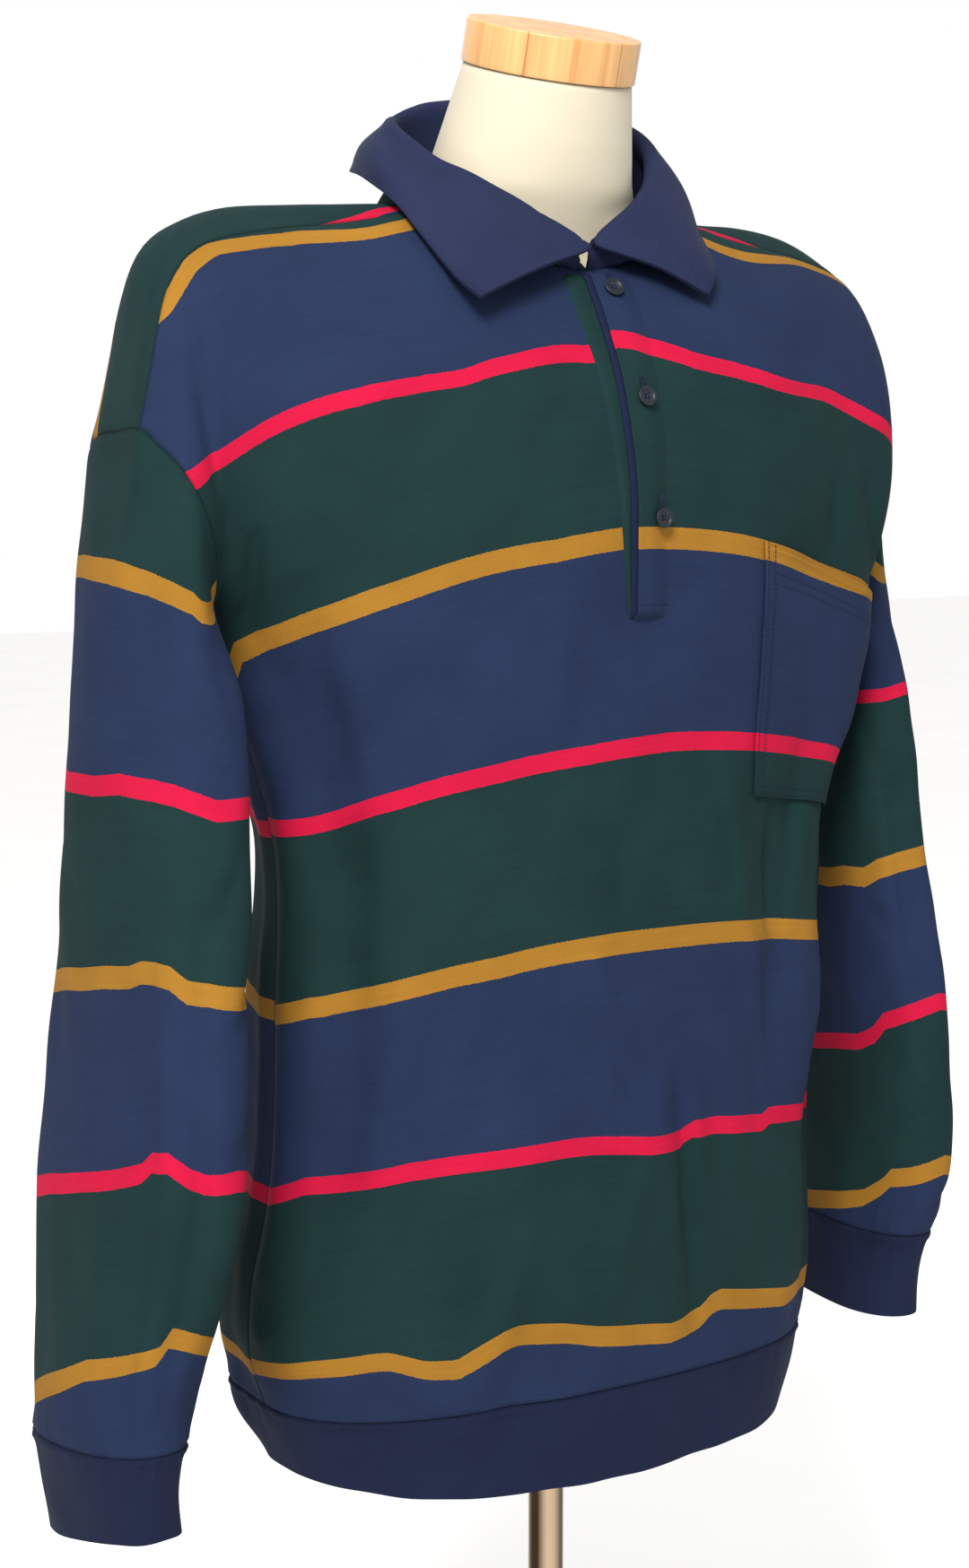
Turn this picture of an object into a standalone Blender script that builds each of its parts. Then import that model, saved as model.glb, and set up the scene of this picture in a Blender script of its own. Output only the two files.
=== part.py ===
# A long-sleeved striped pullover with a rugby collar, worn by a limbless dress form on a pole stand.
# Metres, +Z up. The front faces -Y and the wearer's left side is +X. Z = 0 is the underside of the base.
import math
from functools import lru_cache

import bmesh
import bpy
import numpy as np
from mathutils import Matrix, Vector
from mathutils.kdtree import KDTree

# ---- cloth sizes ----
CLOTH = 0.0015            # wall of the heavy cotton-like jersey
DOUBLE_CLOTH = 0.0022     # wall of the collar and of the doubled bands
SEAM_GAP = 0.0006         # between the edges of two sewn pieces
LAY_GAP = 0.0004          # between a patch and the panel it lies on
SAME_POINT = 0.00002      # points nearer than this are one seam point
SAME_WAY = 0.9            # walls that meet at less than the angle of this cosine count as one
MITRE_LIMIT = 0.45        # least share of a wall's own direction in a mitred seam's
SHARPEST = 0.20           # the same for drawing the edges back
ARMHOLE_EASE = 3.6        # how much further a sleeve is drawn back from its armhole
BAND_HEIGHT = 0.054       # hem band
UNDERARM_V = 0.540        # cloth height of the underarm point above the hem's edge
COLLAR_LIFT = 0.0036      # from the neck edge up to the middle of the collar's lower edge

# ---- mesh density ----
PANEL_COLUMNS = 34        # across a front or back panel
TUBE_ROWS = 11            # up a panel from hem band to underarm
YOKE_ROWS = 10            # up a panel from underarm to shoulder seam
BAND_ROWS = 2
SLEEVE_COLUMNS = 20       # twice YOKE_ROWS, so that sleeve and panels share their armhole points
SLEEVE_ROWS = 16
HEAD_ROWS = 5             # of those, the rows between the armhole and the first section
CUFF_ROWS = 2
COLLAR_COLUMNS = 32
FORM_SIDES = 32
PLACKET_COLUMNS = 3
PLACKET_ROWS = 10
POCKET_FIRST_COLUMN = 23  # the pocket lies over these columns of the front panel
POCKET_LAST_COLUMN = 31
BUTTON_SIDES = 16
ROUND_SIDES = 40
POLE_SIDES = 20
PATH_STEPS = 16           # along a yoke column, to measure its length

# ---- the body below the arms, a row for each level of the cloth ----
# v: height up the cloth from the hem's edge. z_*: where that level hangs at the centre front, the
# wearer's right and left side seams and the centre back. x_*, y_*: how far the section reaches.
BODY_COLUMNS = ("v", "z_front", "z_right", "z_left", "z_back", "x_right", "x_left", "y_front", "y_back")
BODY_ROWS = (
    (0.000, 0.382, 0.392, 0.390, 0.383, 0.176, 0.158, -0.090, 0.098),
    (0.054, 0.436, 0.430, 0.432, 0.433, 0.187, 0.172, -0.094, 0.104),
    (0.085, 0.467, 0.452, 0.460, 0.462, 0.194, 0.178, -0.096, 0.106),
    (0.130, 0.511, 0.490, 0.502, 0.505, 0.194, 0.179, -0.097, 0.107),
    (0.197, 0.577, 0.550, 0.564, 0.570, 0.180, 0.176, -0.096, 0.107),
    (0.308, 0.689, 0.653, 0.668, 0.680, 0.172, 0.185, -0.092, 0.107),
    (0.420, 0.800, 0.754, 0.772, 0.790, 0.172, 0.193, -0.088, 0.112),
    (0.480, 0.861, 0.808, 0.820, 0.850, 0.188, 0.206, -0.086, 0.117),
    (0.540, 0.921, 0.862, 0.866, 0.910, 0.212, 0.212, -0.084, 0.122),
)
SECTION_POWER = 2.35      # 2 is an ellipse, more is squarer
SECTION_ASPECT = 0.55     # typical depth of a section over its width

# ---- the shoulder seam of the wearer's right side, from neck point to sleeve tip ----
# s: place across the panel, 0 at the centre and 1 at the armhole. x is mirrored for the left side.
SEAM_COLUMNS = ("s", "x", "y", "z")
SHOULDER_SEAM = (
    (0.30, 0.086, -0.004, 1.093),
    (0.42, 0.133, -0.007, 1.084),
    (0.56, 0.186, -0.010, 1.077),
    (0.66, 0.219, -0.013, 1.070),
    (0.74, 0.239, -0.016, 1.060),
    (0.82, 0.252, -0.019, 1.040),
    (0.91, 0.261, -0.022, 1.008),
    (1.00, 0.270, -0.024, 0.972),
)
LEFT_ARM_BACK = 0.056     # how much further back the left sleeve tip hangs
LEFT_ARMHOLE_IN = 0.012   # how much nearer the middle of the left armhole seam lies
# the neck edges, from the centre to the neck point
FRONT_NECK = (
    (0.00, 0.000, -0.035, 1.061),
    (0.10, 0.030, -0.033, 1.066),
    (0.20, 0.062, -0.023, 1.079),
    (0.30, 0.086, -0.004, 1.093),
)
BACK_NECK = (
    (0.00, 0.000, 0.088, 1.124),
    (0.10, 0.040, 0.080, 1.120),
    (0.20, 0.074, 0.048, 1.109),
    (0.30, 0.086, -0.004, 1.093),
)

# ---- the armhole seam between underarm (t = 0) and sleeve tip (t = 1) ----
ARMHOLE_COLUMNS = ("t", "x", "y", "z")
FRONT_ARMHOLE = (
    (0.25, 0.226, -0.024, 0.892),
    (0.50, 0.240, -0.046, 0.922),
    (0.75, 0.256, -0.048, 0.950),
)
BACK_ARMHOLE = (
    (0.25, 0.228, 0.056, 0.896),
    (0.50, 0.248, 0.074, 0.934),
    (0.75, 0.264, 0.046, 0.966),
)

# how far a column leans over by its top, in degrees: 90 ends level, more comes down in front
LEAN_COLUMNS = ("s", "front", "back")
LEAN = (
    (0.00, 40.0, 62.0),
    (0.30, 70.0, 100.0),
    (0.60, 78.0, 112.0),
    (1.00, 60.0, 100.0),
)
# cloth height of the front panel's upper edge
TOP_COLUMNS = ("s", "v")
FRONT_TOP_V = (
    (0.00, 0.685),
    (0.10, 0.693),
    (0.20, 0.724),
    (0.30, 0.766),
    (0.55, 0.766),
    (0.80, 0.766),
    (1.00, 0.700),
)

# ---- the sleeves, a row for each section below the armhole ----
# w: height up the cloth from the cuff seam. centre, half_depth front to back, half_thick side to side.
# turn: degrees that the front edge turns in to the body. drop: how much lower the front edge hangs.
SLEEVE_TABLE_COLUMNS = ("w", "x", "y", "z", "half_depth", "half_thick", "turn", "drop")
SLEEVE_RIGHT = (
    (0.385, -0.250, 0.004, 0.832, 0.066, 0.031, 4.0, 0.010),
    (0.342, -0.253, 0.002, 0.786, 0.072, 0.031, 2.0, 0.010),
    (0.238, -0.260, -0.002, 0.683, 0.080, 0.032, 0.0, 0.010),
    (0.134, -0.270, -0.006, 0.576, 0.086, 0.033, 0.0, 0.008),
    (0.075, -0.279, -0.008, 0.516, 0.076, 0.033, 0.0, 0.002),
    (0.030, -0.287, -0.010, 0.470, 0.070, 0.033, 0.0, -0.006),
    (0.000, -0.291, -0.012, 0.440, 0.066, 0.031, 0.0, -0.008),
    (-0.022, -0.291, -0.012, 0.418, 0.060, 0.028, 0.0, -0.010),
    (-0.056, -0.288, -0.012, 0.386, 0.056, 0.026, 0.0, -0.012),
)
SLEEVE_LEFT = (
    (0.385, 0.249, 0.044, 0.836, 0.062, 0.025, 6.0, 0.002),
    (0.342, 0.247, 0.038, 0.805, 0.068, 0.028, 8.0, 0.000),
    (0.238, 0.248, 0.026, 0.703, 0.075, 0.032, 10.0, -0.002),
    (0.134, 0.254, 0.014, 0.602, 0.082, 0.032, 10.0, -0.002),
    (0.075, 0.254, 0.008, 0.546, 0.080, 0.031, 8.0, -0.002),
    (0.030, 0.248, 0.002, 0.504, 0.072, 0.030, 6.0, 0.000),
    (0.000, 0.242, -0.002, 0.477, 0.063, 0.028, 6.0, 0.000),
    (-0.022, 0.239, -0.004, 0.455, 0.056, 0.026, 6.0, 0.000),
    (-0.054, 0.236, -0.006, 0.425, 0.054, 0.025, 6.0, 0.000),
)
SLEEVE_POWER = 2.2
HEAD_STEP = 0.010         # how far below the first section its direction is read
SLEEVE_EASE = 0.050       # fullness that holds the sleeve off the body below its armhole

# ---- the largest folds of the body, a row each ----
# columns: angle_top, angle_bottom, v_low, v_high, height, half_width
# angle: degrees round from the centre front, to the wearer's left; at the fold's top and its bottom.
# height: outwards, so a trough is below 0. half_width: degrees.
BODY_FOLDS = (
    (52.0, 34.0, 0.16, 0.46, -0.0050, 5.0),
    (60.0, 47.0, 0.05, 0.44, 0.0050, 5.5),
    (70.0, 64.0, 0.05, 0.42, -0.0060, 6.0),
    (80.0, 84.0, 0.05, 0.44, 0.0060, 7.0),
    (68.0, 66.0, 0.40, 0.68, 0.0160, 11.0),
    (16.0, 20.0, 0.05, 0.24, -0.0040, 5.0),
    (-24.0, -36.0, 0.00, 0.12, -0.0045, 6.0),
    (-74.0, -70.0, 0.22, 0.56, -0.0080, 7.0),
    (-88.0, -84.0, 0.05, 0.54, 0.0080, 7.0),
    (118.0, 112.0, 0.00, 0.56, 0.0120, 8.0),
    (138.0, 134.0, 0.00, 0.58, -0.0090, 8.0),
    (158.0, 156.0, 0.00, 0.50, 0.0070, 8.0),
    (182.0, 184.0, 0.00, 0.42, -0.0050, 9.0),
    (206.0, 208.0, 0.00, 0.52, 0.0080, 8.0),
    (226.0, 230.0, 0.00, 0.58, -0.0100, 8.0),
    (246.0, 250.0, 0.00, 0.56, 0.0120, 8.0),
)

# ---- the collar, a row for each place from the centre front round to the centre back ----
# around: degrees round the neck. fold_z: height of its folded top. edge: its outer edge.
COLLAR_TABLE_COLUMNS = ("around", "fold_z", "edge_x", "edge_y", "edge_z")
COLLAR_RIGHT = (
    (3.0, 1.074, 0.0915, -0.069, 1.0405),
    (25.0, 1.091, 0.0980, -0.056, 1.0510),
    (50.0, 1.108, 0.1040, -0.034, 1.0720),
    (75.0, 1.123, 0.1050, -0.004, 1.0950),
    (100.0, 1.139, 0.0990, 0.036, 1.1110),
    (130.0, 1.152, 0.0800, 0.082, 1.1190),
    (155.0, 1.160, 0.0430, 0.110, 1.1200),
    (180.0, 1.163, 0.0000, 0.118, 1.1190),
)
COLLAR_LEFT = (
    (3.0, 1.076, 0.0680, -0.058, 1.0470),
    (25.0, 1.096, 0.0800, -0.048, 1.0600),
    (50.0, 1.117, 0.0910, -0.022, 1.0800),
    (75.0, 1.138, 0.0970, 0.008, 1.1000),
    (100.0, 1.152, 0.0960, 0.044, 1.1130),
    (130.0, 1.159, 0.0800, 0.084, 1.1190),
    (155.0, 1.162, 0.0430, 0.110, 1.1200),
    (180.0, 1.163, 0.0000, 0.118, 1.1190),
)
COLLAR_CENTRE_Y = 0.028
COLLAR_FOLD_X = 0.080     # half width of the folded top
COLLAR_FOLD_FRONT = 0.067
COLLAR_FOLD_BACK = 0.064
COLLAR_FOLD_GAP = 0.004   # from the fold's crest to each side of it
COLLAR_BULGE = 0.004      # how far the outer fall rounds out

# ---- placket, buttons and pocket, places across (s) and cloth heights (v) on the front panel ----
PLACKET_WALL = 0.0012
PLACKET_BOTTOM_V = 0.486
OVERLAP_LOW_S = -0.004    # the overlap's edge and how far it goes to the wearer's left
OVERLAP_HIGH_S = 0.108
UNDERLAP_LOW_S = -0.022   # the other strip shows beside it on the wearer's right
UNDERLAP_TOP_S = -0.075   # and more of it at the neck, where the opening gapes
UNDERLAP_HIGH_S = 0.060
FACING_LOW_S = -0.018     # the navy facing peeks out past the overlap's edge
FACING_HIGH_S = 0.050
PLACKET_TOP_V = 0.678
BUTTON_RADIUS = 0.00575
BUTTON_THICK = 0.0026
# columns: name, place across (s), cloth height (v)
BUTTONS = (
    ("button_top", 0.034, 0.6690),
    ("button_middle", 0.040, 0.6060),
    ("button_bottom", 0.060, 0.5430),
)
POCKET_TOP_V = 0.537
POCKET_BOTTOM_V = 0.388
POCKET_WALL = 0.0014
POCKET_GAP = 0.0011

# ---- dress form and stand ----
NECK_LEAN = math.radians(15.5)
CAP_RADIUS = 0.0495
CAP_HEIGHT = 0.0240
CAP_BOTTOM = (0.0, 0.002, 1.1725)
# sections of the form, a row for each height
# columns: z, half_width, y_front, y_back
FORM_ROWS = (
    (0.430, 0.110, -0.050, 0.068),
    (0.436, 0.134, -0.066, 0.082),
    (0.470, 0.146, -0.076, 0.088),
    (0.530, 0.148, -0.078, 0.088),
    (0.640, 0.134, -0.070, 0.080),
    (0.740, 0.140, -0.072, 0.086),
    (0.850, 0.158, -0.074, 0.098),
    (0.930, 0.172, -0.070, 0.104),
    (0.990, 0.184, -0.058, 0.102),
    (1.030, 0.184, -0.040, 0.089),
    (1.052, 0.173, -0.028, 0.079),
    (1.066, 0.150, -0.020, 0.0725),
    (1.078, 0.112, -0.020, 0.069),
    (1.092, 0.074, -0.024, 0.072),
    (1.108, 0.063, -0.031, 0.073),
    (1.128, 0.058, -0.037, 0.072),
)
FORM_POWER = 2.3
NECK_POWER = 2.0
NECK_HALF_WIDTH = 0.076    # sections no wider than this are the round neck's
NECK_RADIUS = 0.0480
SEAT_GAP = 0.0003         # between stacked hard pieces
SOCKET_RADIUS = 0.022
SOCKET_HEIGHT = 0.045
POLE_RADIUS = 0.0105
BASE_RADIUS = 0.150
BASE_THICK = 0.010
EDGE = 0.0012             # bevel of the stand's and cap's edges


# ------------------------------------------------------------------ tables and curves
def column(rows, names, name):
    """One named column of a table, as an array."""
    index = names.index(name)
    return np.array([row[index] for row in rows])


def smooth(keys, values, at):
    """Cubic curve through values at rising keys, with slopes from the neighbours."""
    slopes = np.gradient(values, keys)
    spot = np.clip(np.searchsorted(keys, at, side="right") - 1, 0, len(keys) - 2)
    step = keys[spot + 1] - keys[spot]
    f = (at - keys[spot]) / step
    start = (1 + 2 * f) * (1 - f) ** 2 * values[spot] + f * (1 - f) ** 2 * step * slopes[spot]
    end = f * f * (3 - 2 * f) * values[spot + 1] + f * f * (f - 1) * step * slopes[spot + 1]
    return start + end


@lru_cache(maxsize=None)
def table_at(rows, names, key, at):
    """All columns of a table, read smoothly at one value of its key column."""
    keys = column(rows, names, key)
    order = np.argsort(keys)
    return {name: float(smooth(keys[order], column(rows, names, name)[order], at)) for name in names}


def signed_power(value, power):
    return np.sign(value) * np.abs(value) ** power


def unit(vector):
    return vector / max(np.linalg.norm(vector), 1e-9)


# ------------------------------------------------------------------ the body's surface
def fold_offset(angle, v):
    """How far the folds move the cloth outwards at an angle round and a height up it."""
    total = 0.0
    for top, bottom, low, high, height, half_width in BODY_FOLDS:
        if not low < v < high:
            continue
        along = (v - low) / (high - low)
        centre = bottom + (top - bottom) * along
        away = (angle - centre + 180.0) % 360.0 - 180.0
        window = math.sin(math.pi * along) ** 0.7 if low > 0 else math.cos(0.5 * math.pi * along) ** 0.7
        total += height * window * math.exp(-(away / half_width) ** 2)
    return total


def even_quarter():
    """Angles whose points are evenly spaced along a quarter of a typical section."""
    turns = np.linspace(0.0, math.pi / 2, 200)
    across = signed_power(np.sin(turns), 2 / SECTION_POWER)
    ahead = signed_power(np.cos(turns), 2 / SECTION_POWER) * SECTION_ASPECT
    length = np.concatenate([[0.0], np.cumsum(np.hypot(np.diff(across), np.diff(ahead)))])
    return length / length[-1], turns


QUARTER_LENGTH, QUARTER_TURN = even_quarter()


def section_turn(around):
    """The section's own angle for a place around it, given as if its edge were evenly spread."""
    quarters, rest = divmod(around % 360.0, 90.0)
    share = rest / 90.0
    if quarters % 2 == 1:
        share = 1.0 - share
    turn = float(np.interp(share, QUARTER_LENGTH, QUARTER_TURN))
    return {0: turn, 1: math.pi - turn, 2: math.pi + turn, 3: -turn}[int(quarters)]


@lru_cache(maxsize=None)
def body_point(around, v):
    """Outer surface of the body below the arms. around: 0 centre front, 90 left seam, 180 back."""
    row = table_at(BODY_ROWS, BODY_COLUMNS, "v", v)
    turn = section_turn(around)
    across = float(signed_power(math.sin(turn), 2 / SECTION_POWER))
    ahead = float(signed_power(math.cos(turn), 2 / SECTION_POWER))
    middle = 0.5 * (row["y_front"] + row["y_back"])
    x = across * (row["x_left"] if across > 0 else row["x_right"])
    y = middle - ahead * (middle - row["y_front"] if ahead > 0 else row["y_back"] - middle)
    z_side = row["z_left"] if across > 0 else row["z_right"]
    z_middle = row["z_front"] if ahead > 0 else row["z_back"]
    z = z_middle + (z_side - z_middle) * math.sin(turn) ** 2
    outward = unit(np.array([math.sin(turn) * SECTION_ASPECT, -math.cos(turn), 0.0]))
    return np.array([x, y, z]) + outward * fold_offset(around % 360.0, v)


def round_place(s, back):
    """Degrees around the body of a place across a panel, -1 at the right seam to 1 at the left."""
    return 180.0 - 90.0 * s if back else 90.0 * s


def seam_spot(rows, key, at, side):
    """A point of a shoulder, neck or armhole seam, mirrored for the wearer's left."""
    spot = table_at(rows, (key, "x", "y", "z"), key, at)
    return np.array([side * spot["x"], spot["y"], spot["z"]])


def arm_set_back(side, share):
    """The left arm hangs further back than the right one, more so towards its tip."""
    if side < 0:
        return np.zeros(3)
    return np.array([0.0, LEFT_ARM_BACK * share * share * (3 - 2 * share), 0.0])


def top_point(s, back):
    """The panel's upper edge: neck edge in the middle, shoulder seam outside it."""
    side = 1.0 if s > 0 else -1.0
    place = abs(s)
    neck_s = SHOULDER_SEAM[0][0]
    if place < neck_s:
        return seam_spot(BACK_NECK if back else FRONT_NECK, "s", place, side)
    return seam_spot(SHOULDER_SEAM, "s", place, side) + arm_set_back(side, (place - neck_s) / (1 - neck_s))


@lru_cache(maxsize=None)
def armhole_point(t, side, back):
    """The armhole seam, from the underarm up to the sleeve tip."""
    bottom = body_point(90.0 * side, UNDERARM_V)
    tip = top_point(side, back)
    rows = BACK_ARMHOLE if back else FRONT_ARMHOLE
    between = []
    for share, x, y, z in rows:
        inwards = 6.75 * share * share * (1 - share) * LEFT_ARMHOLE_IN if side > 0 else 0.0
        between.append(np.array([side * (x - inwards), y, z]) + arm_set_back(side, share))
    keys = np.array([0.0] + [row[0] for row in rows] + [1.0])
    spots = np.array([bottom] + between + [tip])
    return np.array([float(smooth(keys, spots[:, axis], t)) for axis in range(3)])


def leaning_path(low, high, lean, t):
    """A path that starts upright at low and leans over by the angle lean where it ends at high."""
    rise = math.sin(lean * t) / math.sin(lean)
    over = (1 - math.cos(lean * t)) / (1 - math.cos(lean))
    return low + (high - low) * np.array([rise, over, rise])


@lru_cache(maxsize=None)
def yoke_point(s, t, back):
    """Outer surface above the arms. t: 0 at the underarm's level to 1 at the panel's upper edge."""
    which = "back" if back else "front"
    lean = math.radians(table_at(LEAN, LEAN_COLUMNS, "s", abs(s))[which])
    point = leaning_path(body_point(round_place(s, back), UNDERARM_V), top_point(s, back), lean, t)
    side = 1.0 if s > 0 else -1.0
    weight = abs(s) ** 4
    end_lean = math.radians(LEAN[-1][LEAN_COLUMNS.index(which)])
    plain = leaning_path(body_point(90.0 * side, UNDERARM_V), top_point(side, back), end_lean, t)
    return point + weight * (armhole_point(t, side, back) - plain)


@lru_cache(maxsize=None)
def front_point(s, v):
    """Outer surface of the front panel at a cloth height."""
    if v <= UNDERARM_V:
        return body_point(round_place(s, False), v)
    steps = [step / PATH_STEPS for step in range(PATH_STEPS + 1)]
    path = np.array([yoke_point(s, t, False) for t in steps])
    length = np.concatenate([[0.0], np.cumsum(np.linalg.norm(np.diff(path, axis=0), axis=1))])
    top_v = table_at(FRONT_TOP_V, TOP_COLUMNS, "s", abs(s))["v"]
    share = min(1.0, (v - UNDERARM_V) / (top_v - UNDERARM_V))
    return np.array([float(np.interp(share * length[-1], length, path[:, axis])) for axis in range(3)])


def front_normal(s, v):
    """Outward direction of the front panel."""
    small = 0.004
    across = front_point(s + small, v) - front_point(s - small, v)
    upward = front_point(s, v + small) - front_point(s, v - small)
    return unit(np.cross(across, upward))


def panel_grid(back):
    """Rows of points for a front or back panel, hem seam to shoulder seam."""
    places = [2 * step / PANEL_COLUMNS - 1 for step in range(PANEL_COLUMNS + 1)]
    grid = [[body_point(round_place(s, back), v) for s in places] for v in tube_levels()[:-1]]
    for row in range(YOKE_ROWS + 1):
        grid.append([yoke_point(s, row / YOKE_ROWS, back) for s in places])
    return np.array([line[::-1] if back else line for line in grid])


def tube_levels():
    """Cloth heights of the panels' rows from the hem band to the underarm."""
    return [float(v) for v in np.linspace(BAND_HEIGHT, UNDERARM_V, TUBE_ROWS + 1)]


def band_grid():
    """Rings of the hem band."""
    levels = np.linspace(0.0, BAND_HEIGHT, BAND_ROWS + 1)
    count = 2 * PANEL_COLUMNS
    return np.array([[body_point(360.0 * step / count, v) for step in range(count)] for v in levels])


# ------------------------------------------------------------------ sleeves and cuffs
def sleeve_section(rows, w, around, side):
    """A point of the sleeve below the armhole. around: 0 outside, 90 front, 180 inside, 270 back."""
    row = table_at(rows, SLEEVE_TABLE_COLUMNS, "w", w)
    angle = math.radians(around)
    out = float(signed_power(math.cos(angle), 2 / SLEEVE_POWER)) * row["half_thick"]
    ahead = float(signed_power(math.sin(angle), 2 / SLEEVE_POWER)) * row["half_depth"]
    turn = math.radians(row["turn"])
    outward = np.array([side * math.cos(turn), -math.sin(turn), 0.0])
    forward = np.array([-side * math.sin(turn), -math.cos(turn), -row["drop"] / row["half_depth"]])
    return np.array([row["x"], row["y"], row["z"]]) + out * outward + ahead * forward


def armhole_ring_point(around, side):
    """The armhole seam by place around the sleeve."""
    if around <= 180.0:
        return armhole_point(1.0 - around / 180.0, side, False)
    return armhole_point((around - 180.0) / 180.0, side, True)


def sleeve_grid(rows, side):
    """Rings of a sleeve, from the cuff seam up to the armhole seam."""
    join_w = rows[0][0]
    levels = np.linspace(0.0, join_w, SLEEVE_ROWS - HEAD_ROWS + 1)
    places = [360.0 * step / SLEEVE_COLUMNS for step in range(SLEEVE_COLUMNS)]
    rings = [[sleeve_section(rows, w, around, side) for around in places] for w in levels]
    for step in range(1, HEAD_ROWS + 1):
        f = step / HEAD_ROWS
        ring = []
        for around in places:
            low = sleeve_section(rows, join_w, around, side)
            below = sleeve_section(rows, join_w - HEAD_STEP, around, side)
            high = armhole_ring_point(around, side)
            reach = np.linalg.norm(high - low)
            start_way = unit(low - below) * reach
            spot = (1 - f) ** 2 * (1 + 2 * f) * low + f * (1 - f) ** 2 * start_way
            inside = 0.5 * (1 - math.cos(math.radians(around)))
            end_way = high - low - np.array([side * SLEEVE_EASE * inside, 0.0, 0.0])
            spot = spot + f * f * (3 - 2 * f) * high + f * f * (f - 1) * end_way
            ring.append(spot)
        rings.append(ring)
    return ordered(np.array(rings), side)


def cuff_grid(rows, side):
    """Rings of a cuff, from its lower edge to the cuff seam."""
    levels = np.linspace(rows[-1][0], 0.0, CUFF_ROWS + 1)
    places = [360.0 * step / SLEEVE_COLUMNS for step in range(SLEEVE_COLUMNS)]
    return ordered(np.array([[sleeve_section(rows, w, a, side) for a in places] for w in levels]), side)


def ordered(rings, side):
    """Rings turned so that their faces point out on either side of the body."""
    return rings if side < 0 else rings[:, ::-1]


# ------------------------------------------------------------------ collar
def collar_profile(row, side):
    """Points across the collar: up the inner stand, over the fold, down the outer fall."""
    around = row["around"]
    share = around / 90.0
    back = around > 90.0
    neck_s = SHOULDER_SEAM[0][0] * (2.0 - share if back else share)
    seam = top_point(side * max(neck_s, 0.002), back) + np.array([0.0, 0.0, COLLAR_LIFT])
    angle = math.radians(around)
    reach_y = COLLAR_FOLD_BACK if back else COLLAR_FOLD_FRONT
    fold = np.array([side * COLLAR_FOLD_X * math.sin(angle),
                     COLLAR_CENTRE_Y - reach_y * math.cos(angle), row["fold_z"]])
    out = unit(np.array([side * math.sin(angle), -math.cos(angle), 0.0]))
    edge = np.array([side * row["edge_x"], row["edge_y"], row["edge_z"]])
    down = np.array([0.0, 0.0, -COLLAR_FOLD_GAP])
    inner = fold - out * COLLAR_FOLD_GAP + down
    outer = fold + out * COLLAR_FOLD_GAP + down
    middle = 0.5 * (outer + edge) + unit(out + np.array([0.0, 0.0, 0.6])) * COLLAR_BULGE
    return [seam, 0.5 * (seam + inner), inner, fold, outer, middle, edge]


def collar_grid():
    """Rows along the collar's length, from seam to outer edge."""
    half = COLLAR_COLUMNS // 2
    lines = []
    for side, rows in ((-1.0, COLLAR_RIGHT), (1.0, COLLAR_LEFT)):
        part = []
        for step in range(half + 1):
            around = rows[0][0] + (180.0 - rows[0][0]) * step / half
            part.append(collar_profile(table_at(rows, COLLAR_TABLE_COLUMNS, "around", around), side))
        lines.append(part)
    along = lines[0] + lines[1][-2::-1]
    return np.array(along).transpose(1, 0, 2)[::-1]


# ------------------------------------------------------------------ pieces laid on the front panel
def patch_grid(low_edge, s_high, v_low, v_high, columns, rows, lift):
    """Points of a patch on the front panel, moved out by lift. low_edge: its s at bottom and top."""
    grid = []
    for row in range(rows + 1):
        v = v_low + (v_high - v_low) * row / rows
        s_low = low_edge[0] + (low_edge[1] - low_edge[0]) * row / rows
        line = []
        for step in range(columns + 1):
            s = s_low + (s_high - s_low) * step / columns
            line.append(front_point(s, v) + front_normal(s, v) * lift)
        grid.append(line)
    return np.array(grid)


def pocket_grid():
    """Points of the pocket: the panel's own columns and rows within it, moved out."""
    levels = [POCKET_BOTTOM_V] + [v for v in tube_levels() if POCKET_BOTTOM_V < v < POCKET_TOP_V] + [POCKET_TOP_V]
    places = [2 * step / PANEL_COLUMNS - 1 for step in range(POCKET_FIRST_COLUMN, POCKET_LAST_COLUMN + 1)]
    rows = tube_levels()
    grid = []
    for v in levels:
        above = next(level for level in rows if level >= v)
        below = rows[rows.index(above) - 1]
        share = (v - below) / (above - below)
        line = []
        for s in places:
            spot = (1 - share) * front_point(s, below) + share * front_point(s, above)
            line.append(spot + front_normal(s, v) * (POCKET_GAP + POCKET_WALL))
        grid.append(line)
    return np.array(grid)


# ------------------------------------------------------------------ walls that meet at their seams
def outward_normals(grid, closed):
    """Outward direction at each point of a grid of cloth."""
    if closed:
        across = np.roll(grid, -1, axis=1) - np.roll(grid, 1, axis=1)
    else:
        across = np.gradient(grid, axis=1)
    normals = np.cross(across, np.gradient(grid, axis=0))
    return normals / np.linalg.norm(normals, axis=2, keepdims=True)


def shared_direction(normals):
    """Middle of the directions that walls have where they meet, each direction counted once."""
    kept = []
    for normal in normals:
        if all(float(normal @ other) < SAME_WAY for other in kept):
            kept.append(normal)
    return unit(sum(kept))


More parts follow.
